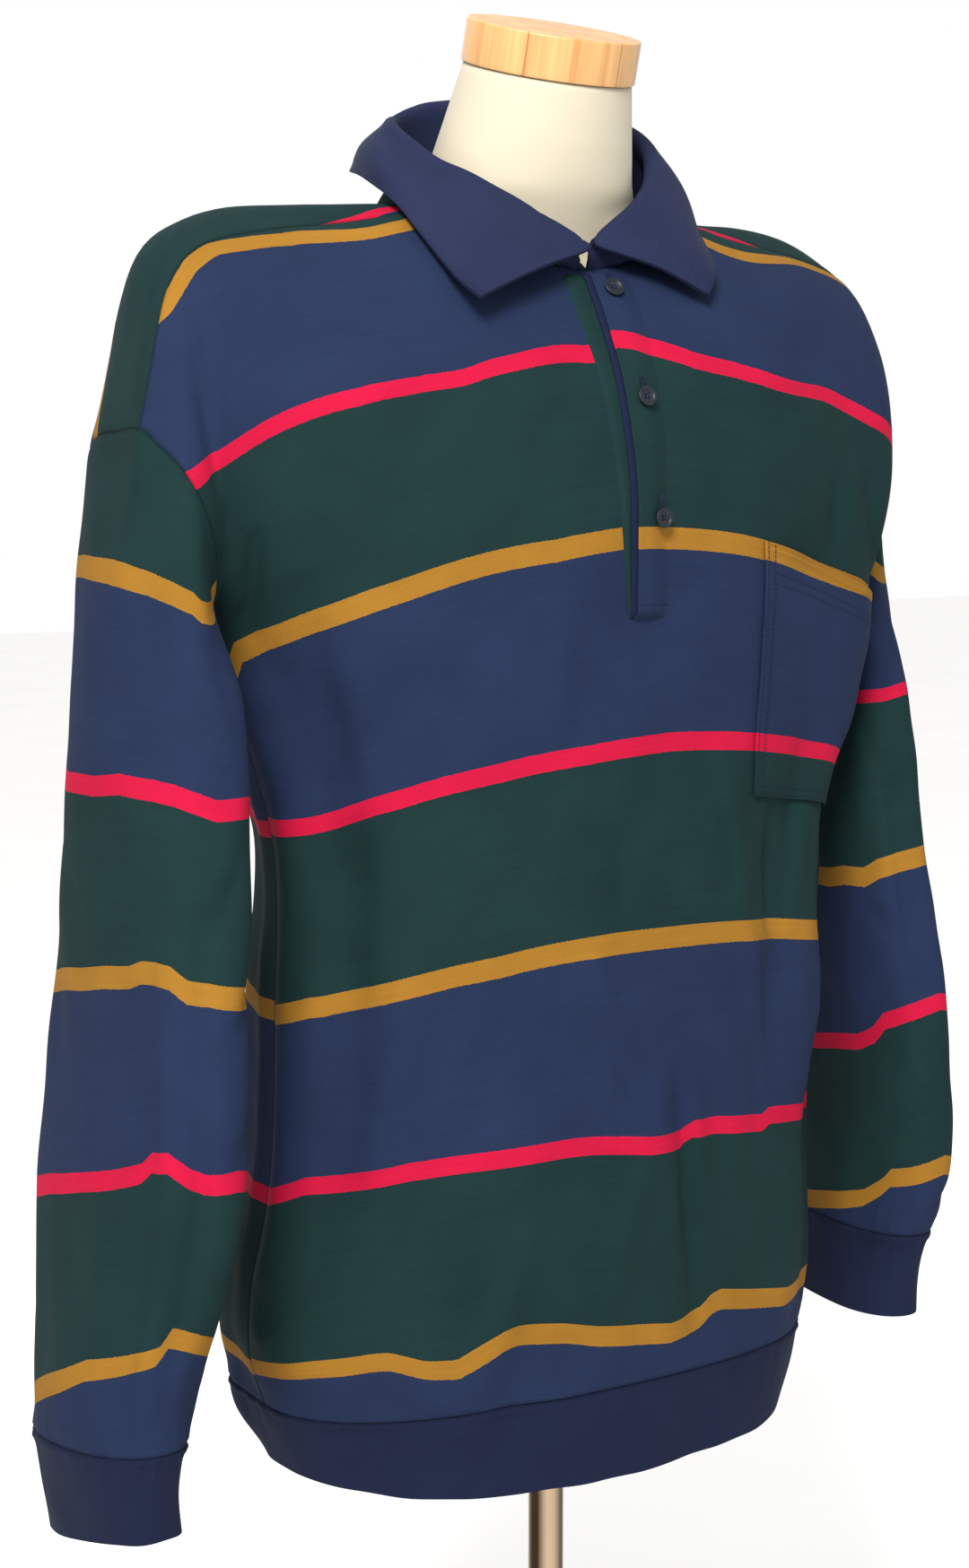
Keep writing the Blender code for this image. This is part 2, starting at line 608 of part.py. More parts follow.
def mitred(pieces):
    """Outer and inner points of each piece. pieces: name to (grid, closed). Pieces that share seam
    points share the direction of their walls there, and then part by the seam gap."""
    normals = {name: outward_normals(grid, closed) for name, (grid, closed) in pieces.items()}
    total = sum(grid.shape[0] * grid.shape[1] for grid, closed in pieces.values())
    tree = KDTree(total)
    flat = []
    for name, (grid, closed) in pieces.items():
        for spot, normal in zip(grid.reshape(-1, 3), normals[name].reshape(-1, 3)):
            tree.insert(spot, len(flat))
            flat.append(normal)
    tree.balance()
    walls = {}
    for name, (grid, closed) in pieces.items():
        shared = np.zeros_like(grid)
        for row in range(grid.shape[0]):
            for step in range(grid.shape[1]):
                near = [flat[index] for spot, index, distance in tree.find_range(grid[row, step], SAME_POINT)]
                shared[row, step] = shared_direction(near)
        turned_by = np.sum(shared * normals[name], axis=2)
        outer = part_at_seams(grid, closed, turned_by, ARMHOLE_EASE if name.startswith("sleeve") else 1.0)
        reach = CLOTH / np.maximum(turned_by, MITRE_LIMIT)
        walls[name] = (outer, outer - shared * reach[:, :, None])
    return walls


def part_at_seams(grid, closed, turned_by, top_ease):
    """The grid with its edges drawn back from the seams, further where the cloth folds sharply."""
    drawn = grid.copy()
    back = (SEAM_GAP / 2 / np.maximum(turned_by, SHARPEST))[:, :, None]
    back[-1] *= top_ease
    for row, inside in ((0, 1), (-1, -2)):
        way = grid[inside] - grid[row]
        drawn[row] += way / np.linalg.norm(way, axis=1, keepdims=True) * back[row]
    if not closed:
        for step, inside in ((0, 1), (-1, -2)):
            way = grid[:, inside] - grid[:, step]
            drawn[:, step] += way / np.linalg.norm(way, axis=1, keepdims=True) * back[:, step]
    return drawn


# ------------------------------------------------------------------ building in Blender
def clear_scene():
    for thing in list(bpy.data.objects):
        bpy.data.objects.remove(thing, do_unlink=True)


def material(name, colour, roughness, metallic=0.0):
    made = bpy.data.materials.new(name)
    made.use_nodes = True
    shader = made.node_tree.nodes["Principled BSDF"]
    shader.inputs["Base Color"].default_value = (*colour, 1.0)
    shader.inputs["Roughness"].default_value = roughness
    shader.inputs["Metallic"].default_value = metallic
    return made


def put(name, mesh, made_of, collection):
    thing = bpy.data.objects.new(name, mesh)
    mesh.materials.append(made_of)
    mesh.shade_smooth()
    collection.objects.link(thing)
    return thing


def grid_mesh(name, grid, closed=False):
    """An open surface from rows of points. closed joins each row's end to its start."""
    rows, columns = grid.shape[:2]
    shape = bmesh.new()
    points = [[shape.verts.new(spot) for spot in line] for line in grid]
    for row in range(rows - 1):
        for step in range(columns if closed else columns - 1):
            after = (step + 1) % columns
            shape.faces.new((points[row][step], points[row][after], points[row + 1][after], points[row + 1][step]))
    mesh = bpy.data.meshes.new(name)
    shape.to_mesh(mesh)
    shape.free()
    return mesh


def sewn_cloth(name, outer, inner, made_of, collection, closed):
    """A wall of cloth between two grids, whose edges meet its neighbours' as a mitre."""
    rows, columns = outer.shape[:2]
    shape = bmesh.new()
    layers = [[[shape.verts.new(spot) for spot in line] for line in grid] for grid in (outer, inner)]
    steps = range(columns if closed else columns - 1)
    for row in range(rows - 1):
        for step in steps:
            after = (step + 1) % columns
            for layer, turn in ((layers[0], 1), (layers[1], -1)):
                corners = (layer[row][step], layer[row][after], layer[row + 1][after], layer[row + 1][step])
                shape.faces.new(corners[::turn])
    for row, turn in ((0, 1), (rows - 1, -1)):
        for step in steps:
            after = (step + 1) % columns
            corners = (layers[1][row][step], layers[1][row][after], layers[0][row][after], layers[0][row][step])
            shape.faces.new(corners[::turn])
    if not closed:
        for step, turn in ((0, -1), (columns - 1, 1)):
            for row in range(rows - 1):
                corners = (layers[1][row][step], layers[1][row + 1][step],
                           layers[0][row + 1][step], layers[0][row][step])
                shape.faces.new(corners[::turn])
    mesh = bpy.data.meshes.new(name)
    shape.to_mesh(mesh)
    shape.free()
    return put(name, mesh, made_of, collection)


def cloth(name, grid, thickness, made_of, collection, closed=False):
    """A wall of cloth whose outer face is the grid."""
    thing = put(name, grid_mesh(name, grid, closed), made_of, collection)
    wall = thing.modifiers.new("wall", "SOLIDIFY")
    wall.thickness = thickness
    wall.offset = -1.0
    wall.use_rim = True
    return thing


def turned(name, outline, sides, made_of, collection, matrix=None):
    """A solid turned about its own Z. outline: (radius, height) points from the top's middle down."""
    mesh = bpy.data.meshes.new(name)
    points = [(radius, 0.0, height) for radius, height in outline]
    mesh.from_pydata(points, [(step, step + 1) for step in range(len(points) - 1)], [])
    thing = put(name, mesh, made_of, collection)
    if matrix is not None:
        thing.matrix_world = matrix
    turn = thing.modifiers.new("turn", "SCREW")
    turn.steps = sides
    turn.render_steps = sides
    turn.use_merge_vertices = True
    turn.merge_threshold = 0.00001
    return thing


def cap_matrix():
    """From the cap's own frame, its underside at the origin, to its place on the leaning neck."""
    return Matrix.Translation(CAP_BOTTOM) @ Matrix.Rotation(NECK_LEAN, 4, "X")


def make_form(made_of, collection):
    """The limbless torso: sections lofted from the hips to the top of the neck."""
    shape = bmesh.new()
    rings = []
    for z, half_width, y_front, y_back in FORM_ROWS:
        middle = 0.5 * (y_front + y_back)
        power = NECK_POWER if half_width < NECK_HALF_WIDTH else FORM_POWER
        ring = []
        for step in range(FORM_SIDES):
            angle = 2 * math.pi * step / FORM_SIDES
            x = half_width * float(signed_power(math.cos(angle), 2 / power))
            y = middle + 0.5 * (y_back - y_front) * float(signed_power(math.sin(angle), 2 / power))
            ring.append(shape.verts.new((x, y, z)))
        rings.append(ring)
    top = []
    for step in range(FORM_SIDES):
        angle = 2 * math.pi * step / FORM_SIDES
        spot = Vector((NECK_RADIUS * math.cos(angle), NECK_RADIUS * math.sin(angle), -SEAT_GAP))
        top.append(shape.verts.new(cap_matrix() @ spot))
    rings.append(top)
    for lower, upper in zip(rings, rings[1:]):
        for step in range(FORM_SIDES):
            after = (step + 1) % FORM_SIDES
            shape.faces.new((lower[step], lower[after], upper[after], upper[step]))
    shape.faces.new(rings[0][::-1])
    shape.faces.new(rings[-1])
    mesh = bpy.data.meshes.new("form_torso")
    shape.to_mesh(mesh)
    shape.free()
    return put("form_torso", mesh, made_of, collection)


def make_button(name, s, v, made_of, collection):
    """A turned button with a raised rim, flat on the placket's overlap."""
    normal = Vector(front_normal(s, v))
    lift = 3 * (LAY_GAP + PLACKET_WALL) + LAY_GAP + SEAT_GAP
    spot = Vector(front_point(s, v)) + normal * lift
    matrix = Matrix.Translation(spot) @ normal.to_track_quat("Z", "Y").to_matrix().to_4x4()
    outline = ((0.0, 0.70 * BUTTON_THICK), (0.66 * BUTTON_RADIUS, 0.70 * BUTTON_THICK),
               (0.88 * BUTTON_RADIUS, BUTTON_THICK), (BUTTON_RADIUS, 0.75 * BUTTON_THICK),
               (BUTTON_RADIUS, 0.35 * BUTTON_THICK), (0.80 * BUTTON_RADIUS, 0.0), (0.0, 0.0))
    turned(name, outline, BUTTON_SIDES, made_of, collection, matrix)


def make_stand(metal, wood, collection):
    """The wooden cap on the neck, the round base and the pole with its socket."""
    cap = ((0.0, CAP_HEIGHT), (CAP_RADIUS - EDGE, CAP_HEIGHT), (CAP_RADIUS, CAP_HEIGHT - EDGE),
           (CAP_RADIUS, EDGE), (CAP_RADIUS - EDGE, 0.0), (0.0, 0.0))
    turned("neck_cap", cap, ROUND_SIDES, wood, collection, cap_matrix())
    base = ((0.0, BASE_THICK), (BASE_RADIUS - 3 * EDGE, BASE_THICK), (BASE_RADIUS, BASE_THICK - 2 * EDGE),
            (BASE_RADIUS, EDGE), (BASE_RADIUS - EDGE, 0.0), (0.0, 0.0))
    turned("stand_base", base, ROUND_SIDES, metal, collection)
    low = BASE_THICK + SEAT_GAP
    top = FORM_ROWS[0][0] - SEAT_GAP
    pole = ((0.0, top), (POLE_RADIUS, top), (POLE_RADIUS, low + SOCKET_HEIGHT + EDGE),
            (POLE_RADIUS + 2 * EDGE, low + SOCKET_HEIGHT), (SOCKET_RADIUS, low + SOCKET_HEIGHT - 3 * EDGE),
            (SOCKET_RADIUS, low), (0.0, low))
    turned("stand_pole", pole, POLE_SIDES, metal, collection)


def make_front_trim(striped, green, navy, horn, collection):
    """Placket strips, buttons and pocket, each lifted clear of what it lies on."""
    level = LAY_GAP + PLACKET_WALL
    strips = (
        ("placket_underlap", (UNDERLAP_LOW_S, UNDERLAP_TOP_S), UNDERLAP_HIGH_S, green),
        ("placket_facing", (FACING_LOW_S, FACING_LOW_S), FACING_HIGH_S, navy),
        ("placket_overlap", (OVERLAP_LOW_S, OVERLAP_LOW_S), OVERLAP_HIGH_S, striped),
    )
    for order, (name, low_edge, s_high, made_of) in enumerate(strips):
        grid = patch_grid(low_edge, s_high, PLACKET_BOTTOM_V, PLACKET_TOP_V, PLACKET_COLUMNS, PLACKET_ROWS,
                          (order + 1) * level)
        cloth(name, grid, PLACKET_WALL, made_of, collection)
    for name, s, v in BUTTONS:
        make_button(name, s, v, horn, collection)
    cloth("chest_pocket", pocket_grid(), POCKET_WALL, striped, collection)


def main():
    clear_scene()
    collection = bpy.data.collections.new("striped_pullover_on_form")
    bpy.context.scene.collection.children.link(collection)
    striped = material("striped_jersey", (0.030, 0.050, 0.100), 0.85)
    navy = material("navy_jersey", (0.020, 0.030, 0.080), 0.85)
    green = material("green_jersey", (0.020, 0.055, 0.050), 0.85)
    horn = material("dark_button", (0.020, 0.030, 0.035), 0.35)
    linen = material("cream_form_cover", (0.86, 0.82, 0.72), 0.90)
    wood = material("pine_cap", (0.80, 0.55, 0.28), 0.50)
    metal = material("nickel_stand", (0.60, 0.55, 0.48), 0.25, 1.0)
    pieces = {
        "front_panel": (panel_grid(False), False),
        "back_panel": (panel_grid(True), False),
        "hem_band": (band_grid(), True),
    }
    for side, word, rows in ((-1.0, "right", SLEEVE_RIGHT), (1.0, "left", SLEEVE_LEFT)):
        pieces[f"sleeve_{word}"] = (sleeve_grid(rows, side), True)
        pieces[f"cuff_{word}"] = (cuff_grid(rows, side), True)
    for name, (outer, inner) in mitred(pieces).items():
        made_of = navy if name.startswith(("hem", "cuff")) else striped
        sewn_cloth(name, outer, inner, made_of, collection, pieces[name][1])
    cloth("collar", collar_grid(), DOUBLE_CLOTH, navy, collection)
    make_front_trim(striped, green, navy, horn, collection)
    make_form(linen, collection)
    make_stand(metal, wood, collection)


main()
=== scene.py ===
# %% [markdown]
# # A striped pullover with a turned-down collar, on a limbless dress form
# The real thing is a heavy, smooth cotton jersey pullover: wide navy and bottle-green bands with narrow
# raspberry and mustard stripes between them. It hangs on a cream dress form whose neck has a wooden cap.
# This lesson dresses the imported solids, piece by piece. Each piece of cloth is one thin shell on the surface
# that its solid has, with a finer mesh and with creases listed one by one. Metres, +Z up, the front faces -Y,
# and the wearer's left side is +X.

# %% The imported frame
import math
from functools import lru_cache

import bpy
import numpy as np
from mathutils import Matrix, Vector


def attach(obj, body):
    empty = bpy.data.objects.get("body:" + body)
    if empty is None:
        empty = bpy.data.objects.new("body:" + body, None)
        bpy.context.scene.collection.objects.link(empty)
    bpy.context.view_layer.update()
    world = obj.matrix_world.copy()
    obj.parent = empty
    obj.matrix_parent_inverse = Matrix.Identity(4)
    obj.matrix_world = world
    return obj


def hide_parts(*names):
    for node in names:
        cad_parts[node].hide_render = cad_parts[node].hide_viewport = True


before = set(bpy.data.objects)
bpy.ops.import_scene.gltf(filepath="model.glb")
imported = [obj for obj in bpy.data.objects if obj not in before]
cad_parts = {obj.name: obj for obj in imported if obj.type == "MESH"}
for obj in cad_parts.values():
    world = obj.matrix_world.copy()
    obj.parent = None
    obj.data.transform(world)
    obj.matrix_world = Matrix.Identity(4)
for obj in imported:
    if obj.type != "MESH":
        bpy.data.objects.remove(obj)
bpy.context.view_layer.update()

print("nodes:", sorted(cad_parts))

# %% [markdown]
# ## Camera, light and floor
# The form was photographed from its right, a third of the way round, from the height of its shoulders,
# and the camera looks a little down. A long lens from 1.6 m keeps the arms in proportion. The light is a
# soft source high beside the camera, to its left, with two weak ones at the far side and behind. A white
# room fills the shadows. The floor is plain and pale.

# %% Camera
VIEW_TURN = math.radians(-33.0)       # how far round the camera stands, to the wearer's right
CAMERA_PITCH = math.radians(7.02)
CAMERA_SPOT = (-0.8859, -1.2967, 0.962)
SENSOR = 36.0                         # mm
LENS = 62.53                          # mm


def placed(name, data):
    """An object of the scene with this data."""
    thing = bpy.data.objects.new(name, data)
    bpy.context.scene.collection.objects.link(thing)
    return thing


camera = placed("camera", bpy.data.cameras.new("camera"))
camera.data.sensor_width = SENSOR
camera.data.lens = LENS
camera.data.dof.use_dof = False
camera.location = CAMERA_SPOT
camera.rotation_euler = (math.pi / 2 - CAMERA_PITCH, 0.0, VIEW_TURN)
bpy.context.scene.camera = camera
bpy.context.scene.view_settings.view_transform = "Standard"
print("lens", camera.data.lens, "mm")


# %% Colour and node helpers
def linear(colour):
    """An sRGB hex colour as linear red, green, blue and alpha."""
    parts = [int(colour[place:place + 2], 16) / 255 for place in (1, 3, 5)]
    return tuple(p / 12.92 if p <= 0.04045 else ((p + 0.055) / 1.055) ** 2.4 for p in parts) + (1.0,)


def feed(tree, socket, value):
    """Give an input a number, a hex colour or another node's output."""
    if isinstance(value, bpy.types.NodeSocket):
        tree.links.new(value, socket)
    else:
        socket.default_value = linear(value) if str(value).startswith("#") else value


def add(tree, kind, settings=None):
    """A node with its settings: properties by name, inputs by name or number."""
    made = tree.nodes.new(kind)
    for key, value in (settings or {}).items():
        if isinstance(key, str) and hasattr(made, key):
            setattr(made, key, value)
        else:
            feed(tree, made.inputs[key], value)
    return made


def solved(tree, operation, *values):
    """The result of a sum, from numbers and other nodes' outputs."""
    return add(tree, "ShaderNodeMath", {"operation": operation, **dict(enumerate(values))}).outputs["Value"]


def noise(tree, place, scale, detail, **settings):
    """The grey value of a noise texture."""
    made = add(tree, "ShaderNodeTexNoise", {"Scale": scale, "Detail": detail, **settings, "Vector": place})
    return made.outputs["Fac"]


def ranged(tree, value, low, high, new_low, new_high):
    """A value moved from one range to another."""
    made = add(tree, "ShaderNodeMapRange", {"Value": value, "From Min": low, "From Max": high,
                                            "To Min": new_low, "To Max": new_high})
    return made.outputs["Result"]


def mixed(tree, share, low, high, blend="MIX"):
    """A colour between two, each a hex colour or another node's output."""
    made = add(tree, "ShaderNodeMix", {"data_type": "RGBA", "blend_type": blend, 0: share, 6: low, 7: high})
    return made.outputs[2]


def stretched(tree, place, **settings):
    """A place, scaled or turned by a Mapping node."""
    return add(tree, "ShaderNodeMapping", {**settings, "Vector": place}).outputs["Vector"]


def new_finish(name, settings):
    """A material whose one shader has these settings, with its tree and its shader."""
    finish = bpy.data.materials.new(name)
    finish.use_nodes = True
    tree = finish.node_tree
    shader = tree.nodes["Principled BSDF"]
    for key, value in settings.items():
        feed(tree, shader.inputs[key], value)
    return finish, tree, shader


def object_place(tree):
    return add(tree, "ShaderNodeTexCoord").outputs["Object"]


def coloured(tree, shader, colour):
    feed(tree, shader.inputs["Base Color"], colour)


def bumped(tree, shader, height, strength, distance):
    """Relief on a finish. distance: metres."""
    made = add(tree, "ShaderNodeBump", {"Strength": strength, "Distance": distance, "Height": height})
    feed(tree, shader.inputs["Normal"], made.outputs["Normal"])


def new_mesh(name, points, faces, finish=None, smooth=True):
    """A mesh with one finish."""
    mesh = bpy.data.meshes.new(name)
    mesh.from_pydata(points, [], faces)
    if smooth:
        mesh.shade_smooth()
    if finish:
        mesh.materials.append(finish)
    return mesh


def baked_mesh(piece):
    """The piece's mesh as its modifiers leave it."""
    bpy.context.view_layer.update()
    graph = bpy.context.evaluated_depsgraph_get()
    return bpy.data.meshes.new_from_object(piece.evaluated_get(graph))


# %% Light and floor
FLOOR_REACH = 12.0
# name, place, what it points at, size, power in watts, colour
LIGHTS = (
    ("key", (-1.45, -1.55, 2.55), (0.0, 0.0, 1.0), 0.9, 145.0, "#fff9f2"),
    ("side", (2.4, -0.9, 1.5), (0.1, 0.0, 0.8), 1.2, 3.0, "#f2f6ff"),
    ("behind", (0.6, 2.6, 2.0), (0.0, 0.0, 0.9), 1.6, 8.0, "#ffffff"),
)
for name, spot, aim, size, power, colour in LIGHTS:
    lamp = bpy.data.lights.new(name, "AREA")
    lamp.size = size
    lamp.energy = power
    lamp.color = linear(colour)[:3]
    light = placed(name, lamp)
    light.location = spot
    light.rotation_euler = (Vector(spot) - Vector(aim)).to_track_quat("Z", "Y").to_euler()
room = bpy.data.worlds.new("room")
room.use_nodes = True
room.node_tree.nodes["Background"].inputs["Color"].default_value = linear("#ffffff")
room.node_tree.nodes["Background"].inputs["Strength"].default_value = 1.0
bpy.context.scene.world = room

floor_finish, tree, shader = new_finish("matt_white_floor", {"Base Color": "#f7f6f4", "Roughness": 0.9})
speck = noise(tree, object_place(tree), 3.0, 3.0)
coloured(tree, shader, mixed(tree, speck, "#f4f3f1", "#fbfaf9"))
corners = [(x * FLOOR_REACH, y * FLOOR_REACH, 0.0) for x, y in ((-1, -1), (1, -1), (1, 1), (-1, 1))]
floor = placed("floor", new_mesh("floor", corners, [(0, 1, 2, 3)], floor_finish, smooth=False))


# %% [markdown]
# ## The shared surface
# The solids were lofted through short tables: level by level round the body, section by section down each
# sleeve, and place by place round the collar. The shells have to lie on the same surface, so this lesson
# uses the same tables and the same few curves.

# %% Sizes and tables
BAND_HEIGHT = 0.054       # hem band
UNDERARM_V = 0.540        # cloth height of the underarm point above the hem's edge
COLLAR_LIFT = 0.0036      # from the neck edge up to the middle of the collar's lower edge
PANEL_COLUMNS = 34        # across a front or back panel
TUBE_ROWS = 11            # up a panel from hem band to underarm
YOKE_ROWS = 10            # up a panel from underarm to shoulder seam
BAND_ROWS = 2
SLEEVE_COLUMNS = 20       # twice YOKE_ROWS, so that sleeve and panels share their armhole points
SLEEVE_ROWS = 16
HEAD_ROWS = 5             # of those, the rows between the armhole and the first section
CUFF_ROWS = 2
COLLAR_COLUMNS = 32

# ---- the body below the arms, a row for each level of the cloth ----
# v: height up the cloth from the hem's edge. z_*: where that level hangs at the centre front, the
# wearer's right and left side seams and the centre back. x_*, y_*: how far the section reaches.
BODY_COLUMNS = ("v", "z_front", "z_right", "z_left", "z_back", "x_right", "x_left", "y_front", "y_back")
BODY_ROWS = (
    (0.000, 0.382, 0.392, 0.390, 0.383, 0.176, 0.158, -0.090, 0.098),
    (0.054, 0.436, 0.430, 0.432, 0.433, 0.187, 0.172, -0.094, 0.104),
    (0.085, 0.467, 0.452, 0.460, 0.462, 0.194, 0.178, -0.096, 0.106),
    (0.130, 0.511, 0.490, 0.502, 0.505, 0.194, 0.179, -0.097, 0.107),
    (0.197, 0.577, 0.550, 0.564, 0.570, 0.180, 0.176, -0.096, 0.107),
    (0.308, 0.689, 0.653, 0.668, 0.680, 0.172, 0.185, -0.092, 0.107),
    (0.420, 0.800, 0.754, 0.772, 0.790, 0.172, 0.193, -0.088, 0.112),
    (0.480, 0.861, 0.808, 0.820, 0.850, 0.188, 0.206, -0.086, 0.117),
    (0.540, 0.921, 0.862, 0.866, 0.910, 0.212, 0.212, -0.084, 0.122),
)
SECTION_POWER = 2.35      # 2 is an ellipse, more is squarer
SECTION_ASPECT = 0.55     # typical depth of a section over its width

# ---- the shoulder seam of the wearer's right side, from neck point to sleeve tip ----
# columns: s, x, y, z. s: place across the panel, 0 at the centre and 1 at the armhole. x is mirrored for
# the left side.
SHOULDER_SEAM = (
    (0.30, 0.086, -0.004, 1.093),
    (0.42, 0.133, -0.007, 1.084),
    (0.56, 0.186, -0.010, 1.077),
    (0.66, 0.219, -0.013, 1.070),
    (0.74, 0.239, -0.016, 1.060),
    (0.82, 0.252, -0.019, 1.040),
    (0.91, 0.261, -0.022, 1.008),
    (1.00, 0.270, -0.024, 0.972),
)
LEFT_ARM_BACK = 0.056     # how much further back the left sleeve tip hangs
LEFT_ARMHOLE_IN = 0.012   # how much nearer the middle of the left armhole seam lies
# the neck edges, from the centre to the neck point, in the same columns
FRONT_NECK = (
    (0.00, 0.000, -0.035, 1.061),
    (0.10, 0.030, -0.033, 1.066),
    (0.20, 0.062, -0.023, 1.079),
    (0.30, 0.086, -0.004, 1.093),
)
BACK_NECK = (
    (0.00, 0.000, 0.088, 1.124),
    (0.10, 0.040, 0.080, 1.120),
    (0.20, 0.074, 0.048, 1.109),
    (0.30, 0.086, -0.004, 1.093),
)

# ---- the armhole seam between underarm (t = 0) and sleeve tip (t = 1) ----
# columns: t, x, y, z
FRONT_ARMHOLE = (
    (0.25, 0.226, -0.024, 0.892),
    (0.50, 0.240, -0.046, 0.922),
    (0.75, 0.256, -0.048, 0.950),
)
BACK_ARMHOLE = (
    (0.25, 0.228, 0.056, 0.896),
    (0.50, 0.248, 0.074, 0.934),
    (0.75, 0.264, 0.046, 0.966),
)

# how far a column leans over by its top, in degrees: 90 ends level, more comes down in front
LEAN_COLUMNS = ("s", "front", "back")
LEAN = (
    (0.00, 40.0, 62.0),
    (0.30, 70.0, 100.0),
    (0.60, 78.0, 112.0),
    (1.00, 60.0, 100.0),
)
# cloth height of the front panel's upper edge
TOP_COLUMNS = ("s", "v")
FRONT_TOP_V = (
    (0.00, 0.685),
    (0.10, 0.693),
    (0.20, 0.724),
    (0.30, 0.766),
    (0.55, 0.766),
    (0.80, 0.766),
    (1.00, 0.700),
)

# ---- the sleeves, a row for each section below the armhole ----
# w: height up the cloth from the cuff seam. centre, half_depth front to back, half_thick side to side.
# turn: degrees that the front edge turns in to the body. drop: how much lower the front edge hangs.
SLEEVE_TABLE_COLUMNS = ("w", "x", "y", "z", "half_depth", "half_thick", "turn", "drop")
SLEEVE_RIGHT = (
    (0.385, -0.250, 0.004, 0.832, 0.066, 0.031, 4.0, 0.010),
    (0.342, -0.253, 0.002, 0.786, 0.072, 0.031, 2.0, 0.010),
    (0.238, -0.260, -0.002, 0.683, 0.080, 0.032, 0.0, 0.010),
    (0.134, -0.270, -0.006, 0.576, 0.086, 0.033, 0.0, 0.008),
    (0.075, -0.279, -0.008, 0.516, 0.076, 0.033, 0.0, 0.002),
    (0.030, -0.287, -0.010, 0.470, 0.070, 0.033, 0.0, -0.006),
    (0.000, -0.291, -0.012, 0.440, 0.066, 0.031, 0.0, -0.008),
    (-0.022, -0.291, -0.012, 0.418, 0.060, 0.028, 0.0, -0.010),
    (-0.056, -0.288, -0.012, 0.386, 0.056, 0.026, 0.0, -0.012),
)
SLEEVE_LEFT = (
    (0.385, 0.249, 0.044, 0.836, 0.062, 0.025, 6.0, 0.002),
    (0.342, 0.247, 0.038, 0.805, 0.068, 0.028, 8.0, 0.000),
    (0.238, 0.248, 0.026, 0.703, 0.075, 0.032, 10.0, -0.002),
    (0.134, 0.254, 0.014, 0.602, 0.082, 0.032, 10.0, -0.002),
    (0.075, 0.254, 0.008, 0.546, 0.080, 0.031, 8.0, -0.002),
    (0.030, 0.248, 0.002, 0.504, 0.072, 0.030, 6.0, 0.000),
    (0.000, 0.242, -0.002, 0.477, 0.063, 0.028, 6.0, 0.000),
    (-0.022, 0.239, -0.004, 0.455, 0.056, 0.026, 6.0, 0.000),
    (-0.054, 0.236, -0.006, 0.425, 0.054, 0.025, 6.0, 0.000),
)
SLEEVE_POWER = 2.2
HEAD_STEP = 0.010         # how far below the first section its direction is read
SLEEVE_EASE = 0.050       # fullness that holds the sleeve off the body below its armhole
FADE = 0.7                # a fold or crease rises faster than a sine from its ends

# ---- the largest folds of the body, a row each ----
# columns: angle_top, angle_bottom, v_low, v_high, height, half_width
# angle: degrees round from the centre front, to the wearer's left; at the fold's top and its bottom.
# height: outwards, so a trough is below 0. half_width: degrees.
BODY_FOLDS = (
    (52.0, 34.0, 0.16, 0.46, -0.0050, 5.0),
    (60.0, 47.0, 0.05, 0.44, 0.0050, 5.5),
    (70.0, 64.0, 0.05, 0.42, -0.0060, 6.0),
    (80.0, 84.0, 0.05, 0.44, 0.0060, 7.0),
    (68.0, 66.0, 0.40, 0.68, 0.0160, 11.0),
    (16.0, 20.0, 0.05, 0.24, -0.0040, 5.0),
    (-24.0, -36.0, 0.00, 0.12, -0.0045, 6.0),
    (-74.0, -70.0, 0.22, 0.56, -0.0080, 7.0),
    (-88.0, -84.0, 0.05, 0.54, 0.0080, 7.0),
    (118.0, 112.0, 0.00, 0.56, 0.0120, 8.0),
    (138.0, 134.0, 0.00, 0.58, -0.0090, 8.0),
    (158.0, 156.0, 0.00, 0.50, 0.0070, 8.0),
    (182.0, 184.0, 0.00, 0.42, -0.0050, 9.0),
    (206.0, 208.0, 0.00, 0.52, 0.0080, 8.0),
    (226.0, 230.0, 0.00, 0.58, -0.0100, 8.0),
    (246.0, 250.0, 0.00, 0.56, 0.0120, 8.0),
)

# ---- the collar, a row for each place from the centre front round to the centre back ----
# around: degrees round the neck. fold_z: height of its folded top. edge: its outer edge.
COLLAR_TABLE_COLUMNS = ("around", "fold_z", "edge_x", "edge_y", "edge_z")
COLLAR_RIGHT = (
    (3.0, 1.074, 0.0915, -0.069, 1.0405),
    (25.0, 1.091, 0.0980, -0.056, 1.0510),
    (50.0, 1.108, 0.1040, -0.034, 1.0720),
    (75.0, 1.123, 0.1050, -0.004, 1.0950),
    (100.0, 1.139, 0.0990, 0.036, 1.1110),
    (130.0, 1.152, 0.0800, 0.082, 1.1190),
    (155.0, 1.160, 0.0430, 0.110, 1.1200),
    (180.0, 1.163, 0.0000, 0.118, 1.1190),
)
COLLAR_LEFT = (
    (3.0, 1.076, 0.0680, -0.058, 1.0470),
    (25.0, 1.096, 0.0800, -0.048, 1.0600),
    (50.0, 1.117, 0.0910, -0.022, 1.0800),
    (75.0, 1.138, 0.0970, 0.008, 1.1000),
    (100.0, 1.152, 0.0960, 0.044, 1.1130),
    (130.0, 1.159, 0.0800, 0.084, 1.1190),
    (155.0, 1.162, 0.0430, 0.110, 1.1200),
    (180.0, 1.163, 0.0000, 0.118, 1.1190),
)
COLLAR_CENTRE_Y = 0.028
COLLAR_FOLD_X = 0.080     # half width of the folded top
COLLAR_FOLD_FRONT = 0.067
COLLAR_FOLD_BACK = 0.064
COLLAR_FOLD_GAP = 0.004   # from the fold's crest to each side of it
COLLAR_BULGE = 0.004      # how far the outer fall rounds out

# ---- dress form and stand ----
NECK_LEAN = math.radians(15.5)
CAP_RADIUS = 0.0495
CAP_HEIGHT = 0.0240
CAP_BOTTOM = (0.0, 0.002, 1.1725)
